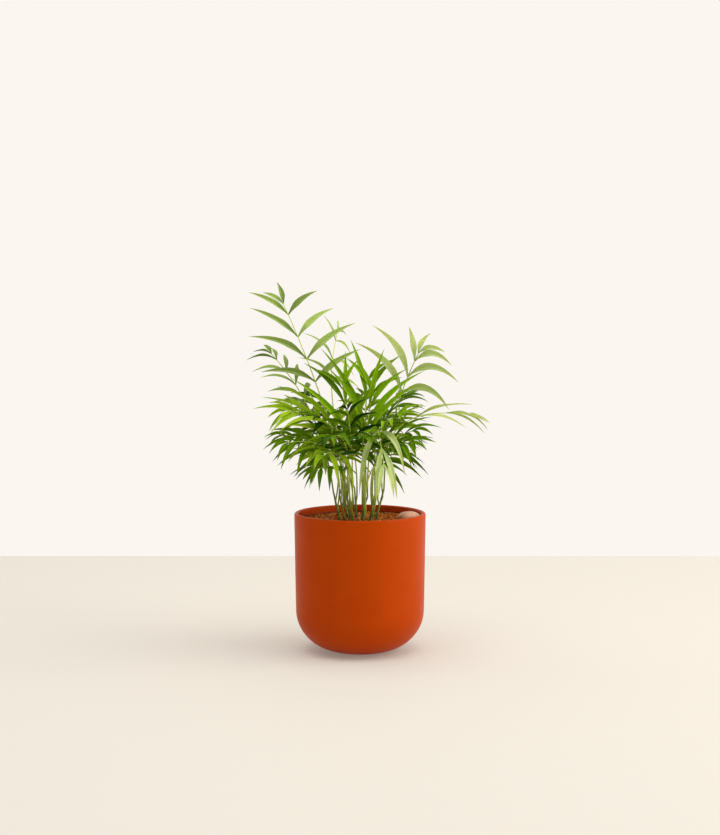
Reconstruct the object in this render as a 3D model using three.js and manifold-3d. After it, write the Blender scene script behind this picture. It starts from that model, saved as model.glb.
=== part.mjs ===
// A young parlour palm in a round-bottomed pot: a clump of seedlings, each one a short stem that
// carries arching, pinnate fronds.
//
// Millimetres, +Z up. The origin is the centre of the pot's flat underside, and -Y is the front.
//
// Every frond is one thin closed blade whose outline is cut to the rib between its leaflets. The rib
// is a three-sided tube along a bowed curve, and each leaflet grows out of one triangle of its side.
// A leaflet that would touch another node is lifted or lowered a little, and is left off if none of
// its positions is clear.

import * as THREE from "three";
import { mergeVertices } from "three/addons/utils/BufferGeometryUtils.js";
import Module from "manifold-3d";

// ---------------------------------------------------------------- driving sizes

const POT = {
  radius: 75, // outer, at the rim
  waist: 73.3, // outer radius at the top of the rounded lower corner
  height: 158,
  foot: 23, // radius of the flat underside
  corner: 47, // height of the rounded lower corner
  wall: 5,
  floor: 7,
  floorRadius: 21, // of the level floor inside
  segments: 48,
  steps: { outside: 8, lip: 4, inside: 6 }, // of the profile's curves
};

const SOIL = { level: 149, edgeDrop: 1.5, edgeWidth: 5 };

const STONE = { at: [56, 4], radii: [13, 11.5, 6], turn: 20, bed: 0.55, segments: [16, 10] };

const GAP = 0.3; // between pieces that rest on each other or grow from each other
const TOUCH = 0.05; // added all round a leaflet when it is kept off its sisters on the same rib
const KEEL_SWELL = 1.5; // a swell's share below the keel, as the section is three-cornered

// A stem flares out to its foot radius over the height of its flare, and is level-ringed at these
// shares of its height above that.
const STEM = { footRadius: 2.4, flare: 6, radius: 1.7, tipRadius: 1.3, sides: 7, rings: [0.55, 1] };

const RIB = { footRadius: 0.9, tipRadius: 0.45, stalkSteps: 5 };

const LEAFLET = {
  root: 3.4, // length of rib that a leaflet grows from
  thick: 1,
  keel: 0.7, // share of the thickness that is below the blade's edges
  thinning: 0.35, // share of the thickness lost by the tip
  bendAt: 0.45, // share of the length before its curve's corner point
  width: [5.2, 0.04], // widest width: this much, and this share of the length
  rootWidth: 0.25, // width at the root over the widest width
  fullAt: 0.45, // share of the length where it is widest
  stations: [0.22, 0.5, 0.8], // where the blade has a cross-section, as shares of its length
  clearOfRib: 0.09, // share of the length where the blade is clear of its rib
};

// ---------------------------------------------------------------- the plant

// Each seedling: where its foot stands, the compass direction it leans to (degrees from +X towards
// +Y), its lean from the vertical, its height, and its fronds. Each frond: the place of its rib's tip,
// the rib's upward bow in its middle, the share of the rib that is bare stalk, the pairs of leaflets,
// the longest leaflet, and where it leaves the stem, as a share of the stem's height. Some fronds also
// have a sideways sway of the rib, the compass direction and elevation that their upper face looks
// to, their own spread and droop in place of the plant's, or a skew: the degrees that their right
// leaflets stand wider, and their left ones closer.
const SEEDLINGS = [
  { foot: [-23, 1], lean: [182, 13], height: 33, fronds: [
    { tip: [-84, -8, 276], bow: 26, bare: 0.42, pairs: 6, leaf: 68, leaves: 0.62, face: [265, 50] },
    { tip: [-104, 40, 339], bow: 16, bare: 0.52, pairs: 6, leaf: 64, leaves: 1 },
    { tip: [-88, 6, 246], bow: 28, bare: 0.44, pairs: 5, leaf: 70, leaves: 0.45, face: [268, 58] },
  ] },
  { foot: [-17, -11], lean: [212, 14], height: 30, fronds: [
    { tip: [-80, -54, 242], bow: 30, bare: 0.42, pairs: 5, leaf: 74, leaves: 0.8, face: [262, 50] },
    { tip: [-40, -84, 230], bow: 32, bare: 0.5, pairs: 4, leaf: 78, leaves: 0.5,
      spread: [62, 36], droop: 80 },
    { tip: [-76, -36, 276], bow: 34, bare: 0.46, pairs: 5, leaf: 88, leaves: 1,
      face: [272, 55], spread: [34, 18], droop: 46 },
  ] },
  { foot: [-8, -16], lean: [235, 12], height: 32, fronds: [
    { tip: [-30, -88, 252], bow: 28, bare: 0.5, pairs: 4, leaf: 74, leaves: 1,
      spread: [75, 40], droop: 66 },
    { tip: [-14, -58, 280], bow: 14, bare: 0.46, pairs: 5, leaf: 60, leaves: 0.75 },
    { tip: [-50, -58, 212], bow: 26, bare: 0.5, pairs: 5, leaf: 60, leaves: 0.45 },
  ] },
  { foot: [3, -16], lean: [300, 12], height: 29, fronds: [
    { tip: [4, -80, 250], bow: 28, bare: 0.5, pairs: 5, leaf: 56, leaves: 0.7, droop: 44 },
    { tip: [14, -24, 296], bow: 4, bare: 0.56, pairs: 3, leaf: 108, leaves: 1,
      face: [268, 10], spread: [16, 9], droop: 48 },
    { tip: [50, -58, 232], bow: 24, bare: 0.52, pairs: 5, leaf: 52, leaves: 0.4 },
  ] },
  { foot: [11, -10], lean: [328, 13], height: 31, fronds: [
    { tip: [26, -88, 218], bow: 60, bare: 0.66, pairs: 3, leaf: 108, leaves: 1,
      spread: [32, 18], droop: 88 },
    { tip: [54, -58, 242], bow: 26, bare: 0.44, pairs: 5, leaf: 74, leaves: 0.6, face: [275, 50] },
    { tip: [46, -50, 278], bow: 16, bare: 0.46, pairs: 5, leaf: 60, leaves: 0.8 },
  ] },
  { foot: [18, 1], lean: [2, 15], height: 35, fronds: [
    { tip: [122, -6, 270], bow: 44, bare: 0.68, pairs: 3, leaf: 88, leaves: 0.75,
      spread: [36, 20], droop: 40 },
    { tip: [60, -34, 254], bow: 26, bare: 0.42, pairs: 5, leaf: 74, leaves: 0.5, face: [278, 50] },
    { tip: [66, -30, 342], bow: 4, sway: -10, bare: 0.7, pairs: 4, leaf: 92, leaves: 1,
      face: [262, 25], spread: [32, 25], droop: 90 },
  ] },
  { foot: [14, 12], lean: [38, 14], height: 32, fronds: [
    { tip: [52, 78, 274], bow: 24, bare: 0.42, pairs: 6, leaf: 60, leaves: 0.75 },
    { tip: [60, 58, 240], bow: 30, bare: 0.44, pairs: 6, leaf: 52, leaves: 0.5 },
    { tip: [46, 44, 292], bow: 10, bare: 0.5, pairs: 6, leaf: 56, leaves: 1, face: [50, 25] },
  ] },
  { foot: [5, 17], lean: [78, 12], height: 31, fronds: [
    { tip: [27, 96, 268], bow: 26, bare: 0.44, pairs: 6, leaf: 62, leaves: 0.75 },
    { tip: [4, 84, 236], bow: 30, bare: 0.44, pairs: 6, leaf: 54, leaves: 0.5 },
    { tip: [6, 50, 290], bow: 10, bare: 0.5, pairs: 6, leaf: 56, leaves: 1, face: [100, 25] },
  ] },
  { foot: [-4, 17], lean: [112, 10], height: 33, fronds: [
    { tip: [-32, 88, 271], bow: 25, bare: 0.44, pairs: 6, leaf: 62, leaves: 0.7 },
    { tip: [-56, 68, 240], bow: 22, bare: 0.45, pairs: 6, leaf: 54, leaves: 0.4 },
    { tip: [-26, 85, 364], bow: 20, sway: 22, bare: 0.66, pairs: 4, leaf: 58, leaves: 1,
      face: [318, 20], spread: [56, 44], skew: 6 },
  ] },
  { foot: [-14, 12], lean: [155, 10], height: 32, fronds: [
    { tip: [-74, 60, 282], bow: 24, bare: 0.44, pairs: 6, leaf: 62, leaves: 0.65 },
    { tip: [-78, 46, 242], bow: 30, bare: 0.44, pairs: 6, leaf: 54, leaves: 0.5 },
    { tip: [-52, 36, 292], bow: 10, bare: 0.5, pairs: 6, leaf: 54, leaves: 1, face: [150, 25] },
  ] },
  { foot: [-11, 2], lean: [178, 8], height: 38, fronds: [
    { tip: [-88, 10, 397], bow: 6, bare: 0.56, pairs: 5, leaf: 79, leaves: 1,
      face: [290, 25], spread: [42, 35], skew: 11, droop: 44 },
    { tip: [-20, 2, 300], bow: 6, bare: 0.53, pairs: 3, leaf: 112, leaves: 0.8,
      face: [272, 10], spread: [17, 9], droop: 46 },
    { tip: [-46, -34, 268], bow: 18, bare: 0.46, pairs: 5, leaf: 66, leaves: 0.6, spread: [44, 24] },
  ] },
  { foot: [2, 0], lean: [15, 8], height: 36, fronds: [
    { tip: [8, 8, 306], bow: 6, bare: 0.56, pairs: 3, leaf: 114, leaves: 1,
      face: [264, 10], spread: [17, 9], droop: 50 },
    { tip: [52, 2, 290], bow: 16, bare: 0.46, pairs: 5, leaf: 76, leaves: 0.75, spread: [42, 22] },
    { tip: [34, -52, 268], bow: 22, bare: 0.46, pairs: 5, leaf: 62, leaves: 0.6 },
  ] },
];

// How a frond's leaflets stand, from the lowest pair (first number) to the last full pair (second).
const SPREAD = [52, 32]; // degrees between leaflet and rib
const LENGTHS = [0.92, 0.66]; // of the first and last full pair, over the longest
const LONGEST = 0.3; // where the longest pair stands, as a share of the feathered rib
const RAISE = 12; // degrees that leaflets rise out of the frond's plane
const DROOP = 60; // degrees that a level leaflet bends down to its tip
const UPRIGHT_DROOP = 0.7; // share of the droop that an upright leaflet keeps
const MOST_DROOP = 0.85; // of the angle from a leaflet's first direction to straight down
const ARCHING_FACE = 60; // elevation that an arching frond's upper face looks to, leaning inwards
const JITTER = { spread: 6, raise: 9, droop: 10, length: 0.08, roll: 22 };
// The short pair at the rib's end: its spread, its length over the longest, how far past the last
// full pair it grows as a share of the step between pairs, and its share of the spread's jitter.
const END_PAIR = { spread: 22, length: 0.4, step: 0.5, jitter: 0.3 };

// The liftings that are tried, in this order, for a leaflet that would touch something.
const TRIES = [0, 9, -9, 18, -18, 28, -28, 40, -40];
const SHORTER = [1, 0.8];
// The places round the stem that are tried for a rib's foot, in degrees from its own direction.
const FOOT_TRIES = [0, 35, -35, 70, -70, 105, -105, 140, -140, 180];

// ---------------------------------------------------------------- small tools

const wasm = await Module();
wasm.setup();

const UP = new THREE.Vector3(0, 0, 1);
const rad = THREE.MathUtils.degToRad;
const lerp = THREE.MathUtils.lerp;
const vec = (x, y, z) => new THREE.Vector3(x, y, z);
const compass = (degrees) => vec(Math.cos(rad(degrees)), Math.sin(rad(degrees)), 0);

/** a + b * t, as a new vector. */
const along = (a, b, t) => a.clone().addScaledVector(b, t);

/** The unit vector to a compass direction and an elevation. */
function skyWay(heading, elevation) {
  const level = compass(heading).multiplyScalar(Math.cos(rad(elevation)));
  return level.addScaledVector(UP, Math.sin(rad(elevation)));
}

/** The part of v that is square to the unit vector n, made a unit vector. */
const squareTo = (v, n) => along(v, n, -v.dot(n)).normalize();

/** A repeatable number from -1 to 1 for whole-number keys. */
function chance(...keys) {
  const modulus = 4294967296;
  let state = 12345;
  for (const key of keys) state = ((state + key * 7919) * 1664525 + 1013904223) % modulus;
  state = (state * 1664525 + 1013904223) % modulus;
  return (state / modulus) * 2 - 1;
}

/** A quadratic curve: its point and its direction at t from 0 to 1. */
class Arc {
  constructor(start, middle, end) {
    Object.assign(this, { start, middle, end });
  }
  point(t) {
    const a = this.start.clone().lerp(this.middle, t);
    return a.lerp(this.middle.clone().lerp(this.end, t), t);
  }
  direction(t) {
    const a = this.middle.clone().sub(this.start).multiplyScalar(1 - t);
    return a.addScaledVector(this.end.clone().sub(this.middle), t).normalize();
  }
}

/** A closed mesh from a list of points and of triangles of their numbers. */
function meshOf(points, triangles) {
  const geometry = new THREE.BufferGeometry();
  const coordinates = points.flatMap((p) => [p.x, p.y, p.z]);
  geometry.setAttribute("position", new THREE.Float32BufferAttribute(coordinates, 3));
  geometry.setIndex(triangles.flat());
  return geometry;
}

/** The manifold-3d solid of a closed geometry. */
function solidOf(geometry) {
  const bare = geometry.clone();
  bare.deleteAttribute("normal");
  bare.deleteAttribute("uv");
  const merged = mergeVertices(bare, 1e-3);
  return new wasm.Manifold(new wasm.Mesh({
    numProp: 3,
    vertProperties: new Float32Array(merged.attributes.position.array),
    triVerts: new Uint32Array(merged.index.array),
  }));
}

/** What has been placed so far, to be kept clear of. */
class Neighbours {
  constructor() {
    this.placed = [];
  }
  add(geometry) {
    geometry.computeBoundingBox();
    this.placed.push({ box: geometry.boundingBox, solid: solidOf(geometry) });
  }
  touches(geometry) {
    geometry.computeBoundingBox();
    const near = this.placed.filter(({ box }) => box.intersectsBox(geometry.boundingBox));
    if (!near.length) return false;
    const solid = solidOf(geometry);
    const hit = near.some((other) => {
      const common = solid.intersect(other.solid);
      const empty = common.isEmpty();
      common.delete();
      return !empty;
    });
    solid.delete();
    return hit;
  }
}

// ---------------------------------------------------------------- pot, soil and stone

/** Points of a quarter of an ellipse from its lowest point out to its side. */
function cornerPoints(foot, radius, base, height, steps) {
  const points = [];
  for (let i = 0; i <= steps; i++) {
    const turn = (i / steps) * (Math.PI / 2);
    points.push(new THREE.Vector2(
      foot + (radius - foot) * Math.sin(turn),
      base + height * (1 - Math.cos(turn)),
    ));
  }
  return points;
}

/** The pot: a round-cornered cup, a little wider at its half-round lip, turned about +Z. */
function potGeometry() {
  const { radius, waist, height, foot, corner, wall, segments, steps } = POT;
  const lip = wall / 2;
  const outside = cornerPoints(foot, waist, 0, corner, steps.outside);
  const rim = [];
  for (let i = 0; i <= steps.lip; i++) {
    const turn = (i / steps.lip) * Math.PI;
    rim.push(new THREE.Vector2(radius - lip + lip * Math.cos(turn), height - lip + lip * Math.sin(turn)));
  }
  const inside = cavityPoints(0);
  const profile = [new THREE.Vector2(0, 0), ...outside, ...rim, ...inside.reverse()];
  return upright(new THREE.LatheGeometry(profile, segments));
}

/** The pot's outer radius at a height between its rounded corner and its lip. */
function wallRadius(height) {
  const { radius, waist, corner, wall } = POT;
  return lerp(waist, radius, (height - corner) / (POT.height - wall / 2 - corner));
}

/** The inner face of the pot from its middle to the top of its corner, moved in by a gap. */
function cavityPoints(gap) {
  const { waist, corner, wall, floor, floorRadius, steps } = POT;
  const base = floor + gap;
  const inner = waist - wall - gap;
  const curve = cornerPoints(floorRadius, inner, base, corner - floor, steps.inside);
  return [new THREE.Vector2(0, base), ...curve];
}

/** The filling of potting soil, a gap inside the pot, with a level top that falls to the wall. */
function soilGeometry() {
  const { level, edgeDrop, edgeWidth } = SOIL;
  const edge = level - edgeDrop;
  const inner = wallRadius(edge) - POT.wall - GAP;
  const profile = [
    ...cavityPoints(GAP),
    new THREE.Vector2(inner, edge),
    new THREE.Vector2(inner - edgeWidth, level),
    new THREE.Vector2(0, level),
  ];
  return upright(new THREE.LatheGeometry(profile, POT.segments));
}

/** A lathe turned from three.js's +Y axis to +Z. */
function upright(geometry) {
  geometry.rotateX(Math.PI / 2);
  return geometry;
}

/** A flat pebble bedded on the soil: a squashed ball whose underside is cut level. */
function stoneGeometry() {
  const { at, radii, turn, bed, segments } = STONE;
  const geometry = new THREE.SphereGeometry(1, ...segments);
  geometry.rotateX(Math.PI / 2);
  const position = geometry.attributes.position;
  for (let i = 0; i < position.count; i++) position.setZ(i, Math.max(position.getZ(i), -bed));
  geometry.scale(...radii);
  geometry.rotateZ(rad(turn));
  geometry.translate(at[0], at[1], SOIL.level + GAP + bed * radii[2]);
  return geometry;
}

// ---------------------------------------------------------------- stems

/** The point on a seedling's leaning stem line at a height above its foot. */
function stemPoint({ foot, lean }, rise) {
  const [heading, tilt] = lean;
  const direction = skyWay(heading, 90 - tilt);
  return along(vec(foot[0], foot[1], SOIL.level + GAP), direction, rise / direction.z);
}

/** The stem's radius at a height above its foot: a flare at the foot, then an even taper. */
function stemRadius(rise, height) {
  if (rise < STEM.flare) return lerp(STEM.footRadius, STEM.radius, rise / STEM.flare);
  return lerp(STEM.radius, STEM.tipRadius, (rise - STEM.flare) / (height - STEM.flare));
}

/** A stem: level rings up the leaning line, from a flat foot to a flat top. */
function stemGeometry(seedling) {
  const { height } = seedling;
  const { flare, sides } = STEM;
  const rises = [0, flare / 2, flare, ...STEM.rings.map((share) => share * height)];
  const points = [];
  for (const rise of rises) {
    const centre = stemPoint(seedling, rise);
    const radius = stemRadius(rise, height);
    for (let k = 0; k < sides; k++) points.push(along(centre, compass((k / sides) * 360), radius));
  }
  const triangles = [];
  for (let ring = 0; ring < rises.length - 1; ring++) {
    for (let k = 0; k < sides; k++) {
      const a = ring * sides + k;
      const b = ring * sides + ((k + 1) % sides);
      triangles.push([a, b, b + sides], [a, b + sides, a + sides]);
    }
  }
  const last = (rises.length - 1) * sides;
  for (let k = 1; k < sides - 1; k++) triangles.push([0, k + 1, k], [last, last + k, last + k + 1]);
  return meshOf(points, triangles);
}

// ---------------------------------------------------------------- fronds

/** The arc of a rib from its foot to the frond's tip, bowed upwards and sideways in its middle. */
function bowedArc(foot, { tip, bow, sway = 0 }) {
  const end = vec(...tip);
  const chord = end.clone().sub(foot).normalize();
  const upwards = squareTo(UP, chord);
  const sideways = upwards.clone().cross(chord);
  const middle = foot.clone().add(end).multiplyScalar(0.5);
  middle.addScaledVector(upwards, 2 * bow).addScaledVector(sideways, 2 * sway);
  return new Arc(foot, middle, end);
}

/** The rib of a frond, from the top of its stem or from the stem's side, turned round the stem. */
function ribArc(seedling, frond, footTurn) {
  const rise = seedling.height * frond.leaves;
  const onStem = stemPoint(seedling, rise);
  if (frond.leaves === 1) {
    const tilt = bowedArc(onStem, frond).direction(0).angleTo(UP);
    return bowedArc(along(onStem, UP, GAP + RIB.footRadius * Math.sin(tilt)), frond);
  }
  const heading = vec(...frond.tip).sub(onStem).setZ(0).normalize().applyAxisAngle(UP, rad(footTurn));
  const reach = stemRadius(rise, seedling.height) + RIB.footRadius + GAP;
  return bowedArc(along(onStem, heading, reach), frond);
}

/** The way the frond's upper face looks: as stated, or up and inwards with a roll of its own. */
function faceWay(arc, frond, number) {
  if (frond.face) return skyWay(...frond.face);
  const outwards = arc.end.clone().sub(arc.start);
  const heading = THREE.MathUtils.radToDeg(Math.atan2(-outwards.y, -outwards.x));
  const roll = rad(JITTER.roll * chance(number));
  return skyWay(heading, ARCHING_FACE).applyAxisAngle(outwards.normalize(), roll);
}

/** The rib's own axes at t: along it, out of its upper face, and to its left. */
function ribAxes(arc, look, t) {
  const ahead = arc.direction(t);
  const upper = squareTo(look, ahead);
  return { centre: arc.point(t), ahead, upper, left: upper.clone().cross(ahead) };
}

const ribRadius = (t) => lerp(RIB.footRadius, RIB.tipRadius, t);

// The corners of the rib's cross-section, over its radius: to the left, and out of the upper face.
const RIB_CORNERS = [30, 150, 270].map((turn) => [Math.cos(rad(turn)), Math.sin(rad(turn))]);

/** Where along the rib each pair of leaflets grows, with how far up the feathered part it is. */
function pairPlaces(arc, { bare, pairs }) {
  const half = LEAFLET.root / 2 / arc.start.distanceTo(arc.end);
  const step = (1 - half - bare) / (pairs - 2 + END_PAIR.step);
  const places = [];
  for (let pair = 0; pair < pairs; pair++) {
    const end = pair === pairs - 1;
    const centre = end ? 1 - half : bare + pair * step;
    const share = Math.min(pair / (pairs - 2), 1);
    places.push({ pair, end, share, from: centre - half, to: centre + half });
  }
  return places;
}

/** The three points of the rib at t: top left, top right and bottom. */
function ribRing(arc, look, t) {
  const { centre, upper, left } = ribAxes(arc, look, t);
  const r = ribRadius(t);
  return RIB_CORNERS.map(([a, b]) => along(along(centre, left, a * r), upper, b * r));
}

/** A leaflet's length over the frond's longest, by how far up the feathered rib it grows. */
function lengthShare({ share, end }) {
  if (end) return END_PAIR.length;
  if (share < LONGEST) return lerp(LENGTHS[0], 1, share / LONGEST);
  return lerp(1, LENGTHS[1], (share - LONGEST) / (1 - LONGEST));
}

/** How one leaflet stands: its root, length, first direction, bend and width direction. */
function leafletShape(rib, place, side, lift, shorter) {
  const { arc, look, frond, number } = rib;
  const draw = (k) => chance(number, place.pair, side + 1, k);
  const { centre, ahead, upper, left } = ribAxes(arc, look, (place.from + place.to) / 2);
  const { spread: [low, high] = SPREAD, skew = 0 } = frond;
  const even = place.end ? END_PAIR.spread : lerp(low, high, place.share) - side * skew;
  const spread = rad(even + JITTER.spread * draw(1) * (place.end ? END_PAIR.jitter : 1));
  const raise = rad(RAISE + JITTER.raise * draw(2) + lift);
  const out = left.clone().multiplyScalar(side * Math.cos(raise)).addScaledVector(upper, Math.sin(raise));
  const first = ahead.clone().multiplyScalar(Math.cos(spread)).addScaledVector(out, Math.sin(spread));
  const length = frond.leaf * lengthShare(place) * (1 + JITTER.length * draw(3)) * shorter;
  const fall = first.angleTo(UP.clone().negate());
  const bend = (frond.droop ?? DROOP) * lerp(UPRIGHT_DROOP, 1, Math.sin(fall)) + JITTER.droop * draw(4);
  const droop = Math.min(rad(bend), MOST_DROOP * fall);
  const sag = squareTo(UP.clone().negate(), first);
  const last = first.clone().multiplyScalar(Math.cos(droop)).addScaledVector(sag, Math.sin(droop));
  const edge = side > 0 ? 0 : 1;
  const [near, far] = [ribRing(arc, look, place.from), ribRing(arc, look, place.to)];
  const root = along(centre, left, (side * ribRadius(place.from)) / 2);
  const middle = along(root, first, LEAFLET.bendAt * length);
  return {
    arc: new Arc(root, middle, along(middle, last, (1 - LEAFLET.bendAt) * length)),
    rootLoop: [near[edge], far[edge], far[2]],
    bendAxis: first.clone().cross(sag),
    width: squareTo(ahead, first),
    halfWidth: (LEAFLET.width[0] + LEAFLET.width[1] * length) / 2,
    first,
    side,
  };
}

/** A leaflet's width at s over its widest: a narrow root, a full middle and a drawn-out tip. */
function leafletOutline(s) {
  const full = THREE.MathUtils.smoothstep(s, 0, LEAFLET.fullAt);
  return lerp(LEAFLET.rootWidth, 1, full) * (1 - s ** 3);
}

/** A leaflet's cross-section at s: the edge towards the frond's foot, the other edge, the keel. */
function leafletSection(shape, s, swell = 0) {
  const { arc, bendAxis, width, halfWidth, first, side } = shape;
  const centre = arc.point(s);
  const ahead = arc.direction(s);
  const flat = width.dot(bendAxis);
  const edgeways = width.dot(bendAxis.clone().cross(first));
  const across = bendAxis.clone().multiplyScalar(flat);
  across.addScaledVector(bendAxis.clone().cross(ahead), edgeways);
  const upper = across.clone().cross(ahead).multiplyScalar(side);
  const half = halfWidth * leafletOutline(s) + swell;
  const thick = LEAFLET.thick * (1 - LEAFLET.thinning * s);
  const above = (1 - LEAFLET.keel) * thick + swell;
  return [
    along(along(centre, across, -half), upper, above),
    along(along(centre, across, half), upper, above),
    along(centre, upper, -LEAFLET.keel * thick - KEEL_SWELL * swell),
  ];
}

/** A leaflet by itself as a closed body from a first section to its tip, grown by a swell. */
function leafletBody(shape, firstSection, swell) {
  const stations = LEAFLET.stations.map((s) => leafletSection(shape, s, swell));
  const sections = [firstSection, ...stations];
  const points = [...sections.flat(), shape.arc.point(1)];
  const triangles = [[0, 1, 2]];
  for (let ring = 0; ring < sections.length; ring++) {
    for (let k = 0; k < 3; k++) {
      const a = ring * 3 + k;
      const b = ring * 3 + ((k + 1) % 3);
      if (ring < sections.length - 1) triangles.push([b, a, b + 3], [a, a + 3, b + 3]);
      else triangles.push([b, a, points.length - 1]);
    }
  }
  return meshOf(points, shape.side > 0 ? triangles.map(([a, b, c]) => [a, c, b]) : triangles);
}

/** The leaflet's blade alone, from just outside the rib, where its sisters on the rib begin too. */
function bladeOf(shape) {
  return leafletBody(shape, leafletSection(shape, LEAFLET.clearOfRib, TOUCH), TOUCH);
}

/** The first way a leaflet can stand clear of its neighbours, or nothing. */
function clearLeaflet(rib, place, side, neighbours, siblings) {
  for (const shorter of SHORTER) {
    for (const lift of TRIES) {
      const shape = leafletShape(rib, place, side, lift, shorter);
      if (neighbours.touches(leafletBody(shape, shape.rootLoop, GAP))) continue;
      if (siblings.touches(bladeOf(shape))) continue;
      return shape;
    }
  }
  return null;
}

/** A frond: the rib's rings joined by faces, with leaflets drawn out of triangles of its sides. */
function frondGeometry(rib, leaflets) {
  const { arc, look, places } = rib;
  const steps = ribSteps(rib);
  const points = steps.flatMap((t) => ribRing(arc, look, t));
  const triangles = [[0, 2, 1]];
  const drawOut = (loop, sections, tip) => {
    let ring = loop;
    for (const section of sections) {
      const next = section.map((p) => points.push(p) - 1);
      for (let k = 0; k < 3; k++) {
        const m = (k + 1) % 3;
        triangles.push([ring[k], ring[m], next[m]], [ring[k], next[m], next[k]]);
      }
      ring = next;
    }
    const end = points.push(tip) - 1;
    for (let k = 0; k < 3; k++) triangles.push([ring[k], ring[(k + 1) % 3], end]);
  };
  for (let i = 0; i < steps.length - 1; i++) {
    const [tl, tr, bo] = [3 * i, 3 * i + 1, 3 * i + 2];
    const [tl2, tr2, bo2] = [tl + 3, tr + 3, bo + 3];
    triangles.push([tl, tr, tr2], [tl, tr2, tl2], [tl, bo2, bo], [bo, bo2, tr]);
    const place = places.find(({ from }) => Math.abs(from - steps[i]) < 1e-9);
    const [onLeft, onRight] = place ? leaflets[place.pair] : [null, null];
    const sectionsOf = (shape) => LEAFLET.stations.map((s) => leafletSection(shape, s));
    if (onLeft) drawOut([tl, tl2, bo2], sectionsOf(onLeft), onLeft.arc.point(1));
    else triangles.push([tl, tl2, bo2]);
    if (onRight) {
      const sections = sectionsOf(onRight).map(([near, far, keel]) => [keel, far, near]);
      drawOut([bo2, tr2, tr], sections, onRight.arc.point(1));
    } else triangles.push([bo2, tr2, tr]);
  }
  const last = 3 * (steps.length - 1);
  triangles.push([last, last + 1, last + 2]);
  return meshOf(points, triangles);
}

/** The places along the rib that have a ring: the bare stalk's steps and both ends of each root. */
function ribSteps({ places }) {
  const steps = [];
  for (let i = 0; i < RIB.stalkSteps; i++) steps.push((places[0].from * i) / RIB.stalkSteps);
  for (const { from, to } of places) steps.push(from, to);
  return steps;
}

/** The rib alone as a closed tube, for testing what it touches. */
function bareRib(rib, swell) {
  const { arc, look } = rib;
  const steps = ribSteps(rib);
  const points = steps.flatMap((t) => {
    const { centre } = ribAxes(arc, look, t);
    return ribRing(arc, look, t).map((p) => along(p, p.clone().sub(centre).normalize(), swell));
  });
  const triangles = [[0, 2, 1]];
  for (let i = 0; i < steps.length - 1; i++) {
    for (const [a, b] of [[0, 1], [2, 0], [1, 2]]) {
      triangles.push([3 * i + a, 3 * i + b, 3 * i + b + 3], [3 * i + a, 3 * i + b + 3, 3 * i + a + 3]);
    }
  }
  const last = 3 * (steps.length - 1);
  triangles.push([last, last + 1, last + 2]);
  return meshOf(points, triangles);
}

/** The first way a rib can leave its stem clear of its neighbours. */
function clearRib(seedling, frond, number, name, neighbours) {
  for (const footTurn of frond.leaves === 1 ? [0] : FOOT_TRIES) {
    const arc = ribArc(seedling, frond, footTurn);
    const look = faceWay(arc, frond, number);
    const rib = { name, frond, number, arc, look, places: pairPlaces(arc, frond) };
    if (!neighbours.touches(bareRib(rib, GAP - TOUCH))) return rib;
  }
  throw new Error(name + "'s rib has no clear way from its stem");
}

// ---------------------------------------------------------------- assembly

const FINISHES = {
  pot: { color: 0xb8470c, roughness: 0.5 },
  soil: { color: 0x5a3a26, roughness: 0.95 },
  stone: { color: 0xb98a70, roughness: 0.8 },
  stem: { color: 0x5f7a2c, roughness: 0.6 },
  frond: { color: 0x4f8a12, roughness: 0.45 },
};

const palm = new THREE.Group();

/** Adds one named piece to the group. */
function addPiece(name, geometry, finish) {
  const mesh = new THREE.Mesh(geometry, new THREE.MeshStandardMaterial({ ...finish, metalness: 0 }));
  mesh.name = name;
  palm.add(mesh);
}

addPiece("pot", potGeometry(), FINISHES.pot);
addPiece("potting_soil", soilGeometry(), FINISHES.soil);
addPiece("pebble", stoneGeometry(), FINISHES.stone);

const neighbours = new Neighbours();
for (const mesh of palm.children) neighbours.add(mesh.geometry);

const numbered = (n) => String(n).padStart(2, "0");

SEEDLINGS.forEach((seedling, s) => {
  const geometry = stemGeometry(seedling);
  neighbours.add(geometry);
  addPiece("stem_" + numbered(s + 1), geometry, FINISHES.stem);
});

const ribs = SEEDLINGS.flatMap((seedling, s) => seedling.fronds.map((frond, f) => {
  const name = "frond_" + numbered(s + 1) + "_" + "abc"[f];
  const rib = clearRib(seedling, frond, 3 * s + f, name, neighbours);
  neighbours.add(bareRib(rib, 0));
  return rib;
}));

const firstRib = neighbours.placed.length - ribs.length;
for (const rib of ribs) {
  const others = new Neighbours();
  others.placed = neighbours.placed.filter((_, i) => i !== firstRib + rib.number);
  const siblings = new Neighbours();
  const leaflets = rib.places.map((place) => [1, -1].map((side) => {
    const shape = clearLeaflet(rib, place, side, others, siblings);
    if (shape) siblings.add(bladeOf(shape));
    return shape;
  }));
  for (const shape of leaflets.flat()) if (shape) neighbours.add(leafletBody(shape, shape.rootLoop, 0));
  addPiece(rib.name, frondGeometry(rib, leaflets), FINISHES.frond);
}

export default palm;
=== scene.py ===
"""The finished look of a potted parlour palm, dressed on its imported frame.

The palm is a clump of seedlings. Each is a short ringed stem that carries arching, pinnate fronds,
and every frond is a channelled rib with folded, drawn-out leaflets on both sides. The fronds grow by
the frame's own rule, written again here, so each stands where its node stands, with more leaflets.

Sizes in this file are millimetres in the frame's axes: +Z is up, -Y is the front, and the origin is
the middle of the pot's underside. They become metres when a mesh is made.
"""
import logging
from collections.abc import Callable, Iterator
from dataclasses import dataclass
from enum import Enum
from math import atan2, cos, degrees, radians, sin
from typing import Any

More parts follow.
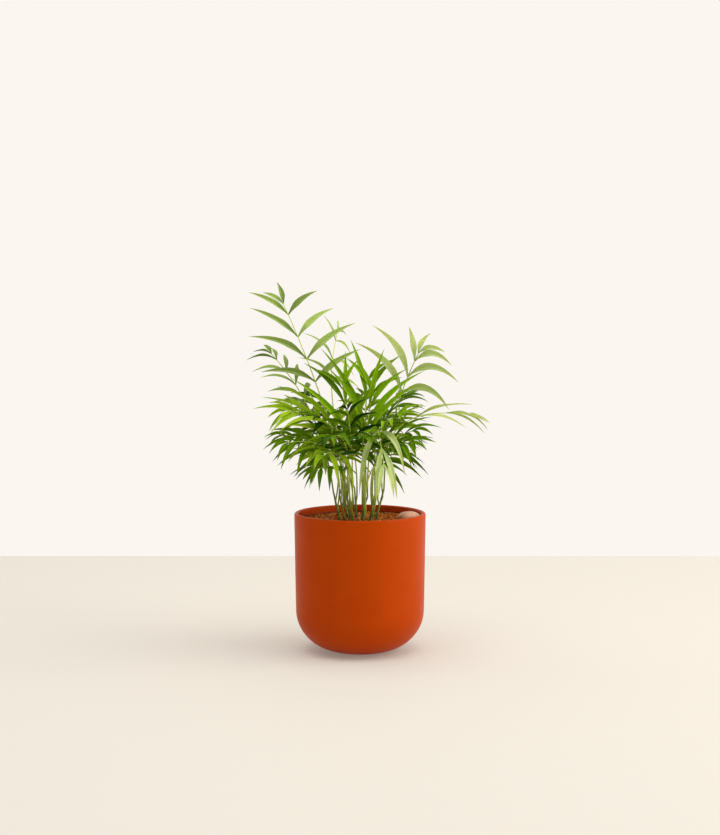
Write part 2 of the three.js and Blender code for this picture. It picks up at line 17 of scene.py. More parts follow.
import bpy
import numpy as np
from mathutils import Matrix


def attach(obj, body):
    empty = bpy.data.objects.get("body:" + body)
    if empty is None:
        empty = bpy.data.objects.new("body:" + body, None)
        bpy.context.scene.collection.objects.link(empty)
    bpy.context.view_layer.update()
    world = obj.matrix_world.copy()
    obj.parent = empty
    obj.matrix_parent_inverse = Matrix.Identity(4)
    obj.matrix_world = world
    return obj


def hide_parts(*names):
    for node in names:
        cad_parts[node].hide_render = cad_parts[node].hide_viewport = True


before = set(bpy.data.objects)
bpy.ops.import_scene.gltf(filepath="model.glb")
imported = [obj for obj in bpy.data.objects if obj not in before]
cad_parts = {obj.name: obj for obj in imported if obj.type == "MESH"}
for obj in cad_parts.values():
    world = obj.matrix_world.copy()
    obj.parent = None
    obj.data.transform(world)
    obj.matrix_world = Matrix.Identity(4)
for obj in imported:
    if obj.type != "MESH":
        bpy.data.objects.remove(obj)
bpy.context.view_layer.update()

METRES = 0.001  # in a millimetre
BODY = "root"

Vec = np.ndarray
Colour = tuple[float, float, float]
log = logging.getLogger("parlour_palm")

# ---------------------------------------------------------------- vectors and curves

UP = np.array([0.0, 0.0, 1.0])


def unit(v: Vec) -> Vec:
    """The vectors of an array, each over its own length."""
    return v / np.linalg.norm(v, axis=-1, keepdims=True)


def square_to(v: Vec, n: Vec) -> Vec:
    """The part of each v that is square to the unit vector n, made a unit vector."""
    return unit(v - np.sum(v * n, axis=-1, keepdims=True) * n)


def lerp(a: Any, b: Any, t: Any) -> Any:
    """The value that is t of the way from a to b."""
    return a + (b - a) * t


def smoothstep(t: Any) -> Any:
    """An even rise from 0 to 1 that starts and ends level: 3t^2 - 2t^3, held between 0 and 1."""
    t = np.clip(t, 0, 1)
    return t * t * (3 - 2 * t)


def compass(heading: float) -> Vec:
    """The level unit vector to a compass direction in degrees from +X towards +Y."""
    return np.array([cos(radians(heading)), sin(radians(heading)), 0.0])


def sky_way(heading: float, elevation: float) -> Vec:
    """The unit vector to a compass direction and an elevation, both in degrees."""
    return compass(heading) * cos(radians(elevation)) + UP * sin(radians(elevation))


def turned(v: Vec, axis: Vec, angle: float) -> Vec:
    """A vector turned about a unit axis.

    The part along the axis stays, and the part square to it turns in its plane (Rodrigues).

    Args:
        v: The vector.
        axis: The unit axis.
        angle: The turn in degrees, by the right-hand rule.

    Returns:
        The turned vector.
    """
    a = radians(angle)
    return v * cos(a) + np.cross(axis, v) * sin(a) + axis * np.dot(axis, v) * (1 - cos(a))


def chance(*keys: int) -> float:
    """A repeatable number from -1 to 1, the same as the frame's own draws.

    Each key is added to the state, 7919 times over, and the state takes a linear congruential
    step. One more step follows the last key, and the state is then a share of the modulus.

    Args:
        keys: Whole numbers that name the draw.

    Returns:
        The number.
    """
    modulus = 2**32
    state = 12345
    for key in (*keys, 0):
        state = ((state + key * 7919) * 1664525 + 1013904223) % modulus
    return state / modulus * 2 - 1


@dataclass(frozen=True)
class Arc:
    """A quadratic curve from start to end that leans towards its middle point."""

    start: Vec
    middle: Vec
    end: Vec

    def point(self, t: Any) -> Vec:
        """The points at t: (1-t)^2 start + 2t(1-t) middle + t^2 end."""
        t = np.asarray(t, float)[..., None]
        return (1 - t) ** 2 * self.start + 2 * t * (1 - t) * self.middle + t**2 * self.end

    def direction(self, t: Any) -> Vec:
        """The unit directions at t: from start to middle, turning to middle to end."""
        t = np.asarray(t, float)[..., None]
        return unit((1 - t) * (self.middle - self.start) + t * (self.end - self.middle))


# ---------------------------------------------------------------- meshes


@dataclass
class Surface:
    """Points with faces, and what the finish reads on them: a place on the surface and a tone.

    Attributes:
        points: One row for each point, in millimetres.
        faces: Arrays of point numbers, one array for each number of corners.
        place: For each point, its place across and along the shape, from 0 to 1.
        tone: For each point, how light the shape is among its kind, from 0 to 1.
    """

    points: Vec
    faces: list[Vec]
    place: Vec
    tone: Vec

    @staticmethod
    def joined(parts: list["Surface"]) -> "Surface":
        """Several surfaces as one, with their point numbers moved on.

        Args:
            parts: The surfaces.

        Returns:
            The joined surface.
        """
        starts = np.cumsum([0] + [len(part.points) for part in parts[:-1]])
        return Surface(
            np.concatenate([part.points for part in parts]),
            [faces + start for part, start in zip(parts, starts) for faces in part.faces],
            np.concatenate([part.place for part in parts]),
            np.concatenate([part.tone for part in parts]),
        )


def tube_faces(rings: int, sides: int, tip: bool) -> list[Vec]:
    """The faces of a closed tube of rings of points, with its ends shut.

    Quads join each ring to the next, one polygon shuts the first ring, and the last ring is shut
    by a polygon, or by triangles to one tip point that follows the rings.

    Args:
        rings: The number of rings.
        sides: The points of a ring, which run anticlockwise seen against the tube's direction.
        tip: True if the tube ends in a tip point.

    Returns:
        Arrays of point numbers by number of corners.
    """
    k = np.arange(sides)
    low = (np.arange(rings - 1)[:, None] * sides + k).ravel()
    low_next = (np.arange(rings - 1)[:, None] * sides + (k + 1) % sides).ravel()
    quads = np.stack([low, low_next, low_next + sides, low + sides], axis=1)
    last = (rings - 1) * sides
    if tip:
        end = np.stack([last + k, last + (k + 1) % sides, np.full(sides, last + sides)], axis=1)
    else:
        end = (last + k)[None, :]
    return [quads, k[::-1][None, :], end]


def lathe(profile: Vec, segments: int) -> Surface:
    """A profile of (radius, height) turned about +Z, both of its ends being on the axis.

    A point at turn a is (radius cos a, radius sin a, height). The profile runs from the underside's
    middle out, up and back in, so that the faces look outwards.

    Args:
        profile: The (radius, height) rows, the first and last with radius 0.
        segments: Steps around.

    Returns:
        The closed surface.
    """
    turn = np.arange(segments) / segments * 2 * np.pi
    ring = np.stack([np.cos(turn), np.sin(turn)], axis=1)
    body = profile[1:-1]
    points = np.zeros((len(body), segments, 3))
    points[..., :2] = body[:, None, :1] * ring
    points[..., 2] = body[:, None, 1]
    poles = np.array([[0, 0, profile[0, 1]], [0, 0, profile[-1, 1]]])
    quads = tube_faces(len(body), segments, tip=False)[0]
    k = np.arange(segments)
    near, far = body.shape[0] * segments, body.shape[0] * segments + 1
    last = (len(body) - 1) * segments
    under = np.stack([(k + 1) % segments, k, np.full(segments, near)], axis=1)
    over = np.stack([last + k, last + (k + 1) % segments, np.full(segments, far)], axis=1)
    points = np.concatenate([points.reshape(-1, 3), poles])
    return Surface(points, [quads, under, over], np.zeros((len(points), 2)), np.zeros(len(points)))


def put_in(name: str, data: Any) -> bpy.types.Object:
    """Puts a new object of a mesh, light or camera in the scene.

    Args:
        name: The object's name.
        data: Its mesh, light or camera.

    Returns:
        The object.
    """
    thing = bpy.data.objects.new(name, data)
    bpy.context.scene.collection.objects.link(thing)
    return thing


def make_piece(name: str, surface: Surface, finish: bpy.types.Material,
               nodes: list[str], crease: float = 60.0) -> None:
    """Makes a Blender object of a surface, at the origin, riding on the palm's one body.

    Args:
        name: The piece's name.
        surface: Its points and faces in millimetres.
        finish: Its material.
        nodes: The frame nodes that it stands for.
        crease: The angle in degrees past which an edge stays sharp.
    """
    mesh = bpy.data.meshes.new(name)
    corners = np.concatenate([faces.ravel() for faces in surface.faces]).astype(np.int32)
    counts = np.concatenate([np.full(len(f), f.shape[1], np.int32) for f in surface.faces])
    mesh.vertices.add(len(surface.points))
    mesh.vertices.foreach_set("co", (surface.points * METRES).astype(np.float32).ravel())
    mesh.loops.add(len(corners))
    mesh.loops.foreach_set("vertex_index", corners)
    mesh.polygons.add(len(counts))
    mesh.polygons.foreach_set("loop_start", (np.cumsum(counts) - counts).astype(np.int32))
    mesh.update(calc_edges=True)
    mesh.validate()
    layer = mesh.uv_layers.new(name="place")
    layer.data.foreach_set("uv", surface.place[corners].astype(np.float32).ravel())
    tone = mesh.attributes.new("tone", "FLOAT", "POINT")
    tone.data.foreach_set("value", surface.tone.astype(np.float32))
    mesh.shade_smooth()
    mesh.set_sharp_from_angle(angle=radians(crease))
    mesh.materials.append(finish)
    piece = put_in(name, mesh)
    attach(piece, BODY)
    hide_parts(*nodes)
    log.info("%s: %d triangles for %d nodes", name, np.sum(counts - 2), len(nodes))


# ---------------------------------------------------------------- shader tools


class Desk:
    """Places the nodes of one shader tree and links them."""

    def __init__(self, tree: bpy.types.NodeTree) -> None:
        """Takes the tree to work in."""
        self.tree = tree

    def put(self, kind: str, sockets: dict[Any, Any] | None = None, **settings: Any) -> bpy.types.Node:
        """A new node.

        Args:
            kind: The node's type name after "ShaderNode".
            sockets: Values or outputs for its inputs, by name or number.
            settings: The node's own settings.

        Returns:
            The node.
        """
        node = self.tree.nodes.new("ShaderNode" + kind)
        for name, value in settings.items():
            setattr(node, name, value)
        for name, value in (sockets or {}).items():
            self.feed(node.inputs[name], value)
        return node

    def feed(self, socket: bpy.types.NodeSocket, value: Any) -> None:
        """Links an output to a socket, or sets the socket's own value.

        Args:
            socket: An input.
            value: An output to link, or a value to set.
        """
        if isinstance(value, bpy.types.NodeSocket):
            self.tree.links.new(value, socket)
        elif isinstance(value, tuple) and socket.type == "RGBA":
            socket.default_value = (*value, 1.0)
        else:
            socket.default_value = value

    def math(self, operation: str, a: Any, b: Any = 0.0) -> bpy.types.NodeSocket:
        """The result of a Math node."""
        return self.put("Math", {0: a, 1: b}, operation=operation).outputs[0]

    def times(self, a: Any, b: Any) -> bpy.types.NodeSocket:
        """The product of two values."""
        return self.math("MULTIPLY", a, b)

    def parts(self, vector: Any) -> Any:
        """The three parts of a vector."""
        return self.put("SeparateXYZ", {0: vector}).outputs

    def blend(self, share: Any, a: Any, b: Any) -> bpy.types.NodeSocket:
        """Colour a with a share of colour b over it."""
        return self.put("Mix", {0: share, 6: a, 7: b}, data_type="RGBA").outputs[2]

    def slide(self, value: Any, low: float, high: float,
              first: float = 0.0, last: float = 1.0) -> bpy.types.NodeSocket:
        """An even, smooth change from first to last while the value goes from low to high."""
        sockets = {"Value": value, "From Min": low, "From Max": high, "To Min": first, "To Max": last}
        return self.put("MapRange", sockets, interpolation_type="SMOOTHSTEP").outputs[0]

    def noise(self, where: Any, scale: Any, detail: Any) -> bpy.types.NodeSocket:
        """Soft noise from 0 to 1, with a number of grains to the metre and a number of octaves."""
        return self.put("TexNoise", {"Vector": where, "Scale": scale, "Detail": detail}).outputs[0]

    def mix(self, share: Any, first: bpy.types.Node, second: bpy.types.Node) -> bpy.types.Node:
        """A first shader with a share of a second one over it."""
        return self.put("MixShader", {0: share, 1: first.outputs[0], 2: second.outputs[0]})


class Effect:
    """A shader group that several finishes use, built once from named inputs and outputs."""

    def __init__(self, name: str, inputs: dict[str, str], outputs: dict[str, str]) -> None:
        """Makes the empty group.

        Args:
            name: Its name.
            inputs: The kinds of its inputs, by name.
            outputs: The kinds of its outputs, by name.
        """
        self.tree = bpy.data.node_groups.new(name, "ShaderNodeTree")
        for way, sockets in (("INPUT", inputs), ("OUTPUT", outputs)):
            for label, kind in sockets.items():
                self.tree.interface.new_socket(label, in_out=way, socket_type="NodeSocket" + kind)
        self.desk = Desk(self.tree)
        self.given = self.tree.nodes.new("NodeGroupInput").outputs
        self.result = self.tree.nodes.new("NodeGroupOutput").inputs

    def place(self, desk: Desk, **sockets: Any) -> Callable[[str], bpy.types.NodeSocket]:
        """Puts the group in a material.

        Args:
            desk: The material's desk.
            sockets: The group's inputs by name, with _ for a space.

        Returns:
            A function that gives an output by its name.
        """
        node = desk.put("Group", node_tree=self.tree)
        for name, value in sockets.items():
            desk.feed(node.inputs[name.replace("_", " ")], value)
        return lambda label: node.outputs[label]


class Mottle(Effect):
    """Uneven colour: two colours mixed by soft noise, with the same noise as a value."""

    contrast = (0.35, 0.65)  # where the noise is all base, and where it is all patch

    def __init__(self) -> None:
        """Builds the group."""
        inputs = {"Where": "Vector", "Scale": "Float", "Detail": "Float",
                  "Base": "Color", "Patch": "Color", "Share": "Float"}
        super().__init__("mottle", inputs, {"Color": "Color", "Value": "Float"})
        desk, given = self.desk, self.given
        soft = desk.slide(desk.noise(given["Where"], given["Scale"], given["Detail"]), *self.contrast)
        desk.feed(self.result["Value"], soft)
        share = desk.times(soft, given["Share"])
        desk.feed(self.result["Color"], desk.blend(share, given["Base"], given["Patch"]))


class Blade(Effect):
    """A leaflet's colour and relief from its place across and along.

    The light colour comes in by the leaflet's tone, and more so past its root. Veins are where the
    sine of the place across, times their number, is near zero. The midrib is the band round the
    middle. The tip's colour comes in over the last part of the length, most on light leaflets.
    """

    vein_edge = 0.45  # the sine at which a vein has faded away
    vein_tint = 0.07  # how far a vein takes its colour
    vein_height = 0.35  # over the midrib's depth
    midrib_edge = (0.012, 0.05)  # of the width from the middle, where the midrib begins and ends to fade
    midrib_tint = 0.4
    root = (0.5, 0.55, 1.15)  # the root's share of the length, and the tone's share at the root and past it
    tip_from = 0.55  # of the length
    tip_tones = (0.1, 0.9, 0.3, 1.0)  # a dark and a light tone, and how far each takes the tip's colour

    def __init__(self) -> None:
        """Builds the group."""
        inputs = {"Place": "Vector", "Tone": "Float", "Blade": "Color", "Light": "Color",
                  "Vein": "Color", "Tip": "Color", "Veins": "Float", "Tip Share": "Float"}
        super().__init__("blade", inputs, {"Color": "Color", "Height": "Float"})
        desk, given = self.desk, self.given
        across, along, _ = desk.parts(given["Place"])
        phase = desk.times(desk.times(across, given["Veins"]), np.pi)
        veins = desk.slide(desk.math("ABSOLUTE", desk.math("SINE", phase)), 0.0, self.vein_edge, 1.0, 0.0)
        off_middle = desk.math("ABSOLUTE", desk.math("SUBTRACT", across, 0.5))
        middle = desk.slide(off_middle, *self.midrib_edge, 1.0, 0.0)
        lighter = desk.times(given["Tone"], desk.slide(along, 0.0, *self.root))
        body = desk.blend(lighter, given["Blade"], given["Light"])
        body = desk.blend(desk.times(veins, self.vein_tint), body, given["Vein"])
        body = desk.blend(desk.times(middle, self.midrib_tint), body, given["Vein"])
        tip = desk.times(desk.slide(along, self.tip_from, 1.0), given["Tip Share"])
        tip = desk.times(tip, desk.slide(given["Tone"], *self.tip_tones))
        desk.feed(self.result["Color"], desk.blend(tip, body, given["Tip"]))
        height = desk.math("SUBTRACT", desk.times(veins, self.vein_height), middle)
        desk.feed(self.result["Height"], height)


# ---------------------------------------------------------------- finishes


@dataclass(frozen=True)
class Effects:
    """The shader groups that the finishes share."""

    mottle: Mottle
    blade: Blade


class Finish:
    """A material in the making: a Principled surface and the desk that feeds it."""

    def __init__(self, name: str, roughness: float, shine: float = 0.5) -> None:
        """Makes a plain material.

        Args:
            name: Its name.
            roughness: Of its surface.
            shine: Strength of its reflection.
        """
        self.material = bpy.data.materials.new(name)
        self.material.use_nodes = True
        tree = self.material.node_tree
        self.desk = Desk(tree)
        self.surface = tree.nodes["Principled BSDF"]
        self.output = tree.nodes["Material Output"]
        self.set("Roughness", roughness)
        self.set("Specular IOR Level", shine)

    def set(self, label: str, value: Any) -> None:
        """Links an output to an input of the surface, or sets that input's own value."""
        self.desk.feed(self.surface.inputs[label], value)

    def show(self, shader: bpy.types.Node) -> None:
        """Shows a shader in place of the surface alone."""
        self.desk.feed(self.output.inputs["Surface"], shader.outputs[0])

    def where(self) -> bpy.types.NodeSocket:
        """The piece's own coordinates in metres."""
        return self.desk.put("TexCoord").outputs["Object"]

    def place(self) -> bpy.types.NodeSocket:
        """The place across and along the shape."""
        return self.desk.put("UVMap", uv_map="place").outputs[0]

    def tone(self) -> bpy.types.NodeSocket:
        """How light the shape is among its kind."""
        return self.desk.put("Attribute", attribute_name="tone").outputs["Fac"]

    def clouded(self, effects: Effects, where: Any, grain: tuple[float, float],
                base: Any, patch: Any, share: float) -> Callable[[str], bpy.types.NodeSocket]:
        """Places the mottle group, which clouds one colour with another.

        Args:
            effects: The shared shader groups.
            where: The coordinates that it reads.
            grain: Clouds to a metre, and octaves of their noise.
            base: The colour between the clouds.
            patch: The colour of the clouds.
            share: How far they take it.

        Returns:
            A function that gives the group's outputs by name.
        """
        scale, detail = grain
        return effects.mottle.place(
            self.desk, Where=where, Scale=scale, Detail=detail, Base=base, Patch=patch, Share=share,
        )

    def relief(self, height: bpy.types.NodeSocket, depth: float, strength: float) -> None:
        """Bumps the surface by a height, whose full depth is given in millimetres."""
        sockets = {"Height": height, "Strength": strength, "Distance": depth * METRES}
        self.set("Normal", self.desk.put("Bump", sockets).outputs[0])


@dataclass(frozen=True)
class LeafFinish:
    """The skin of the leaflets of one tint: satin, veined, and lit through by light behind it.

    Attributes:
        name: The tint's name.
        slot: Its slot in the record; not used.
        blade: The colour of its darkest leaflets.
        light: The colour of its lightest leaflets.
        vein: The colour of the midrib and veins.
        tip: The colour that its tips turn to.
        tip_share: How far the tips turn.
        roughness: Of the skin.
        shine: Strength of the skin's reflection.
        through: The share of light that scatters through the blade.
        veins: The number of veins across the blade.
        relief: Depth of the veins in millimetres, and how strongly it shades.
    """

    name: str
    slot: str
    blade: Colour
    light: Colour
    vein: Colour
    tip: Colour
    tip_share: float
    roughness: float = 0.3
    shine: float = 0.06
    through: float = 0.42
    veins: float = 8.0
    relief: tuple[float, float] = (0.05, 0.3)

    def make(self, effects: Effects) -> bpy.types.Material:
        """The material, with the leaflet's own veins in colour and relief.

        Args:
            effects: The shared shader groups.

        Returns:
            The material.
        """
        finish = Finish("leaf_" + self.name, self.roughness, self.shine)
        read = effects.blade.place(
            finish.desk, Place=finish.place(), Tone=finish.tone(), Blade=self.blade, Light=self.light,
            Vein=self.vein, Tip=self.tip, Veins=self.veins, Tip_Share=self.tip_share,
        )
        finish.set("Base Color", read("Color"))
        finish.relief(read("Height"), *self.relief)
        glow = finish.desk.put("BsdfTranslucent", {"Color": read("Color")})
        finish.show(finish.desk.mix(self.through, finish.surface, glow))
        return finish.material


@dataclass(frozen=True)
class StalkFinish:
    """The skin of stems and ribs: darker on old sheaths, with fine lengthwise streaks.

    Attributes:
        old: The colour of the oldest skin.
        young: The colour of the youngest.
        patch: The colour of the streaks.
        patch_share: How far the streaks take that colour.
        grain: Streaks to a metre across the stem, and octaves of their noise.
        stretch: Streaks' spacing across the stem over that along it.
        roughness: Of the skin.
        relief: Depth of the streaks in millimetres, and how strongly it shades.
    """

    old: Colour = (0.035, 0.055, 0.004)
    young: Colour = (0.56, 0.68, 0.07)
    patch: Colour = (0.22, 0.32, 0.02)
    patch_share: float = 0.35
    grain: tuple[float, float] = (900.0, 3.0)
    stretch: float = 0.12
    roughness: float = 0.45
    relief: tuple[float, float] = (0.1, 0.6)

    def make(self, effects: Effects) -> bpy.types.Material:
        """The material: its tone goes from the old colour to the young one.

        Args:
            effects: The shared shader groups.

        Returns:
            The material.
        """
        finish = Finish("stalk", self.roughness)
        desk = finish.desk
        drawn = desk.put("Mapping", {"Vector": finish.where(), "Scale": (1.0, 1.0, self.stretch)})
        body = desk.blend(finish.tone(), self.old, self.young)
        read = finish.clouded(effects, drawn.outputs[0], self.grain, body, self.patch, self.patch_share)
        finish.set("Base Color", read("Color"))
        finish.relief(read("Value"), *self.relief)
        return finish.material


@dataclass(frozen=True)
class ClayFinish:
    """The pot's satin glaze over fired clay: even, faintly clouded and with a fine skin.

    Attributes:
        glaze: The glaze's colour.
        cloud: The colour of its clouds.
        cloud_share: How far the clouds take that colour.
        clouds: Clouds to a metre, and octaves of their noise.
        roughness: Of the glaze between clouds.
        rough_range: How much rougher a cloud is than the glaze between clouds.
        shine: Strength of the glaze's reflection.
        skin: Grains to a metre in the skin, and octaves of their noise.
        relief: Depth of that grain in millimetres, and how strongly it shades.
        dust: The colour of soil dust, low on the inside wall.
        dust_share: How far the dustiest wall takes that colour.
        dust_rough: How much rougher the dustiest wall is.
        dust_top: Height in millimetres that the dust reaches.
        dust_fade: How far below that height it is full, and how far below it is gone.
        dust_low: Share of that height below which there is none.
        ragged: How far its upper edge wanders, in millimetres.
        specks: Grains to a metre along that edge, and octaves of their noise.
        inner_radius: Radius in millimetres within which the wall counts as inside.
    """

    glaze: Colour = (0.49, 0.054, 0.0002)
    cloud: Colour = (0.45, 0.047, 0.0002)
    cloud_share: float = 0.5
    clouds: tuple[float, float] = (26.0, 5.0)
    roughness: float = 0.34
    rough_range: float = 0.05
    shine: float = 0.045
    skin: tuple[float, float] = (700.0, 4.0)
    relief: tuple[float, float] = (0.02, 0.4)
    dust: Colour = (0.12, 0.05, 0.025)
    dust_share: float = 0.8
    dust_rough: float = 0.4
    dust_top: float = 151.0
    dust_fade: tuple[float, float] = (3.5, 1.0)
    dust_low: float = 0.9
    ragged: float = 4.0
    specks: tuple[float, float] = (420.0, 3.0)
    inner_radius: float = 70.6

    def dustiness(self, desk: Desk, where: bpy.types.NodeSocket) -> bpy.types.NodeSocket:
        """How dusty the wall is: only inside, just above the soil, with a ragged upper edge.

        Args:
            desk: The material's desk.
            where: The piece's own coordinates.

        Returns:
            A share from 0 to 1.
        """
        x, y, z = desk.parts(where)
        squares = desk.math("ADD", desk.times(x, x), desk.times(y, y))
        inside = desk.math("LESS_THAN", desk.math("SQRT", squares), self.inner_radius * METRES)
        above = desk.math("GREATER_THAN", z, self.dust_low * self.dust_top * METRES)
        edge = desk.times(desk.noise(where, *self.specks), -self.ragged * METRES)
        full, gone = ((self.dust_top - fade) * METRES for fade in self.dust_fade)
        low = desk.slide(desk.math("ADD", z, edge), full, gone, 1.0, 0.0)
        return desk.times(desk.times(desk.times(inside, above), low), self.dust_share)

    def make(self, effects: Effects) -> bpy.types.Material:
        """The material, with soil dust low on the inside wall.

        Args:
            effects: The shared shader groups.

        Returns:
            The material.
        """
        finish = Finish("pot", self.roughness, self.shine)
        desk, where = finish.desk, finish.where()
        read = finish.clouded(effects, where, self.clouds, self.glaze, self.cloud, self.cloud_share)
        dusty = self.dustiness(desk, where)
        finish.set("Base Color", desk.blend(dusty, read("Color"), self.dust))
        rough = desk.math("ADD", desk.times(read("Value"), self.rough_range), self.roughness)
        finish.set("Roughness", desk.math("ADD", rough, desk.times(dusty, self.dust_rough)))
        finish.relief(desk.noise(where, *self.skin), *self.relief)
        return finish.material


@dataclass(frozen=True)
class EarthFinish:
    """Potting soil: dark crumbs with lighter bark and fibre among them, all dry and rough.

    Attributes:
        dark: The colour of dark crumbs.
        light: The colour of light crumbs.
        fleck: The colour of the few lightest crumbs.
        light_from: Tones between which crumbs turn from dark to light.
        fleck_from: Tones between which they turn to flecks.
        pit: The pits' brightness over the dark colour's.
        pit_share: How far the pits take that colour.
        grain: Grains to a metre, and octaves of their noise.
        roughness: Of the soil.
        shine: Strength of its reflection.
        relief: Depth of the grain in millimetres, and how strongly it shades.
    """

    dark: Colour = (0.42, 0.108, 0.014)
    light: Colour = (0.88, 0.28, 0.042)
    fleck: Colour = (0.90, 0.40, 0.11)
    light_from: tuple[float, float] = (0.0, 0.75)
    fleck_from: tuple[float, float] = (0.8, 0.86)
    pit: float = 0.45
    pit_share: float = 0.7
    grain: tuple[float, float] = (900.0, 4.0)
    roughness: float = 0.92
    shine: float = 0.1
    relief: tuple[float, float] = (0.5, 0.9)

    def make(self, effects: Effects) -> bpy.types.Material:
        """The material: its tone picks dark crumb, light crumb or fleck.

        Args:
            effects: The shared shader groups.

        Returns:
            The material.
        """
        finish = Finish("soil", self.roughness, self.shine)
        desk, tone = finish.desk, finish.tone()
        body = desk.blend(desk.slide(tone, *self.light_from), self.dark, self.light)
        body = desk.blend(desk.slide(tone, *self.fleck_from), body, self.fleck)
        pits = tuple(self.pit * c for c in self.dark)
        read = finish.clouded(effects, finish.where(), self.grain, body, pits, self.pit_share)
        finish.set("Base Color", read("Color"))
        finish.relief(read("Value"), *self.relief)
        return finish.material


@dataclass(frozen=True)
class StoneFinish:
    """A water-worn pebble: soft clouds of colour with dark grains.

    Attributes:
        body: The stone's colour.
        cloud: The colour of its clouds.
        cloud_share: How far the clouds take that colour.
        clouds: Clouds to a metre, and octaves of their noise.
        grain: The colour of its grains.
        grain_share: How far the grains take that colour.
        grains: Grains to a metre.
        grain_edge: Where a grain begins and ends to fade, over the grains' spacing.
        roughness: Of the stone.
        relief: Depth of its unevenness in millimetres, and how strongly it shades.
    """

    body: Colour = (0.78, 0.42, 0.27)
    cloud: Colour = (0.60, 0.31, 0.19)
    cloud_share: float = 0.8
    clouds: tuple[float, float] = (90.0, 6.0)
    grain: Colour = (0.18, 0.09, 0.06)
    grain_share: float = 0.35
    grains: float = 1100.0
    grain_edge: tuple[float, float] = (0.1, 0.3)
    roughness: float = 0.7
    relief: tuple[float, float] = (0.15, 0.6)

    def make(self, effects: Effects) -> bpy.types.Material:
        """The material, speckled by cells whose middles are dark.

        Args:
            effects: The shared shader groups.

        Returns:
            The material.
        """
        finish = Finish("pebble", self.roughness)
        desk, where = finish.desk, finish.where()
        read = finish.clouded(effects, where, self.clouds, self.body, self.cloud, self.cloud_share)
        cells = desk.put("TexVoronoi", {"Vector": where, "Scale": self.grains}).outputs["Distance"]
        specks = desk.times(desk.slide(cells, *self.grain_edge, 1.0, 0.0), self.grain_share)
        finish.set("Base Color", desk.blend(specks, read("Color"), self.grain))
        finish.relief(desk.math("SUBTRACT", read("Value"), specks), *self.relief)
        return finish.material


class Tint(Enum):
    """The tints that the fronds are dealt, each with a slot in the record."""

    DEEP = LeafFinish("deep", "leaf_deep", blade=(0.014, 0.064, 0.0002), light=(0.180, 0.340, 0.0010),
                      vein=(0.26, 0.44, 0.02), tip=(0.28, 0.38, 0.01), tip_share=0.5)
    FRESH = LeafFinish("fresh", "leaf_fresh", blade=(0.085, 0.205, 0.0005), light=(0.490, 0.690, 0.018),
                       vein=(0.56, 0.74, 0.12), tip=(0.64, 0.68, 0.12), tip_share=0.6)
    VIVID = LeafFinish("vivid", "leaf_fresh", blade=(0.040, 0.140, 0.0003), light=(0.400, 0.650, 0.010),
                       vein=(0.46, 0.70, 0.08), tip=(0.50, 0.60, 0.06), tip_share=0.5)
    # Painted sheen: a greyer, bluer green for the topmost fronds, for the sky's reflection on them.
    PAINTED_SHEEN = LeafFinish("painted_sheen", "leaf_fresh", blade=(0.135, 0.215, 0.030), light=(0.540, 0.680, 0.200),
                        vein=(0.60, 0.74, 0.28), tip=(0.60, 0.66, 0.24), tip_share=0.5)
    # Painted backlight: a whitish green for leaflets that light shines through from behind.
    PAINTED_BACKLIGHT = LeafFinish("pale", "leaf_pale", blade=(0.42, 0.56, 0.13), light=(0.82, 0.90, 0.46),
                      vein=(0.86, 0.94, 0.62), tip=(0.74, 0.74, 0.20), tip_share=0.6)
    OLIVE = LeafFinish("olive", "leaf_olive", blade=(0.20, 0.24, 0.004), light=(0.44, 0.46, 0.015),
                       vein=(0.50, 0.54, 0.08), tip=(0.42, 0.30, 0.03), tip_share=0.4)


# ---------------------------------------------------------------- the pot and what fills it


def wobble(where: Vec, scales: tuple[float, ...], seed: int, waves: int = 5) -> Vec:
    """Smooth unevenness from -1 to 1 or so.

    It is the mean, over a few wavelengths, of sines along random directions with random phases.

    Args:
        where: Points with two or three coordinates.
        scales: The wavelengths, in the points' own units.
        seed: Picks the directions and phases.
        waves: How many sines each wavelength has.

    Returns:
        One value for each point.
    """
    rng = np.random.default_rng(seed)
    total = np.zeros(where.shape[:-1])
    for scale in scales:
        ways = unit(rng.normal(size=(waves, where.shape[-1]))) * 2 * np.pi / scale
        phases = rng.uniform(0, 2 * np.pi, waves)
        total += np.sin(where @ ways.T + phases).mean(axis=-1)
    return total / len(scales) * 2


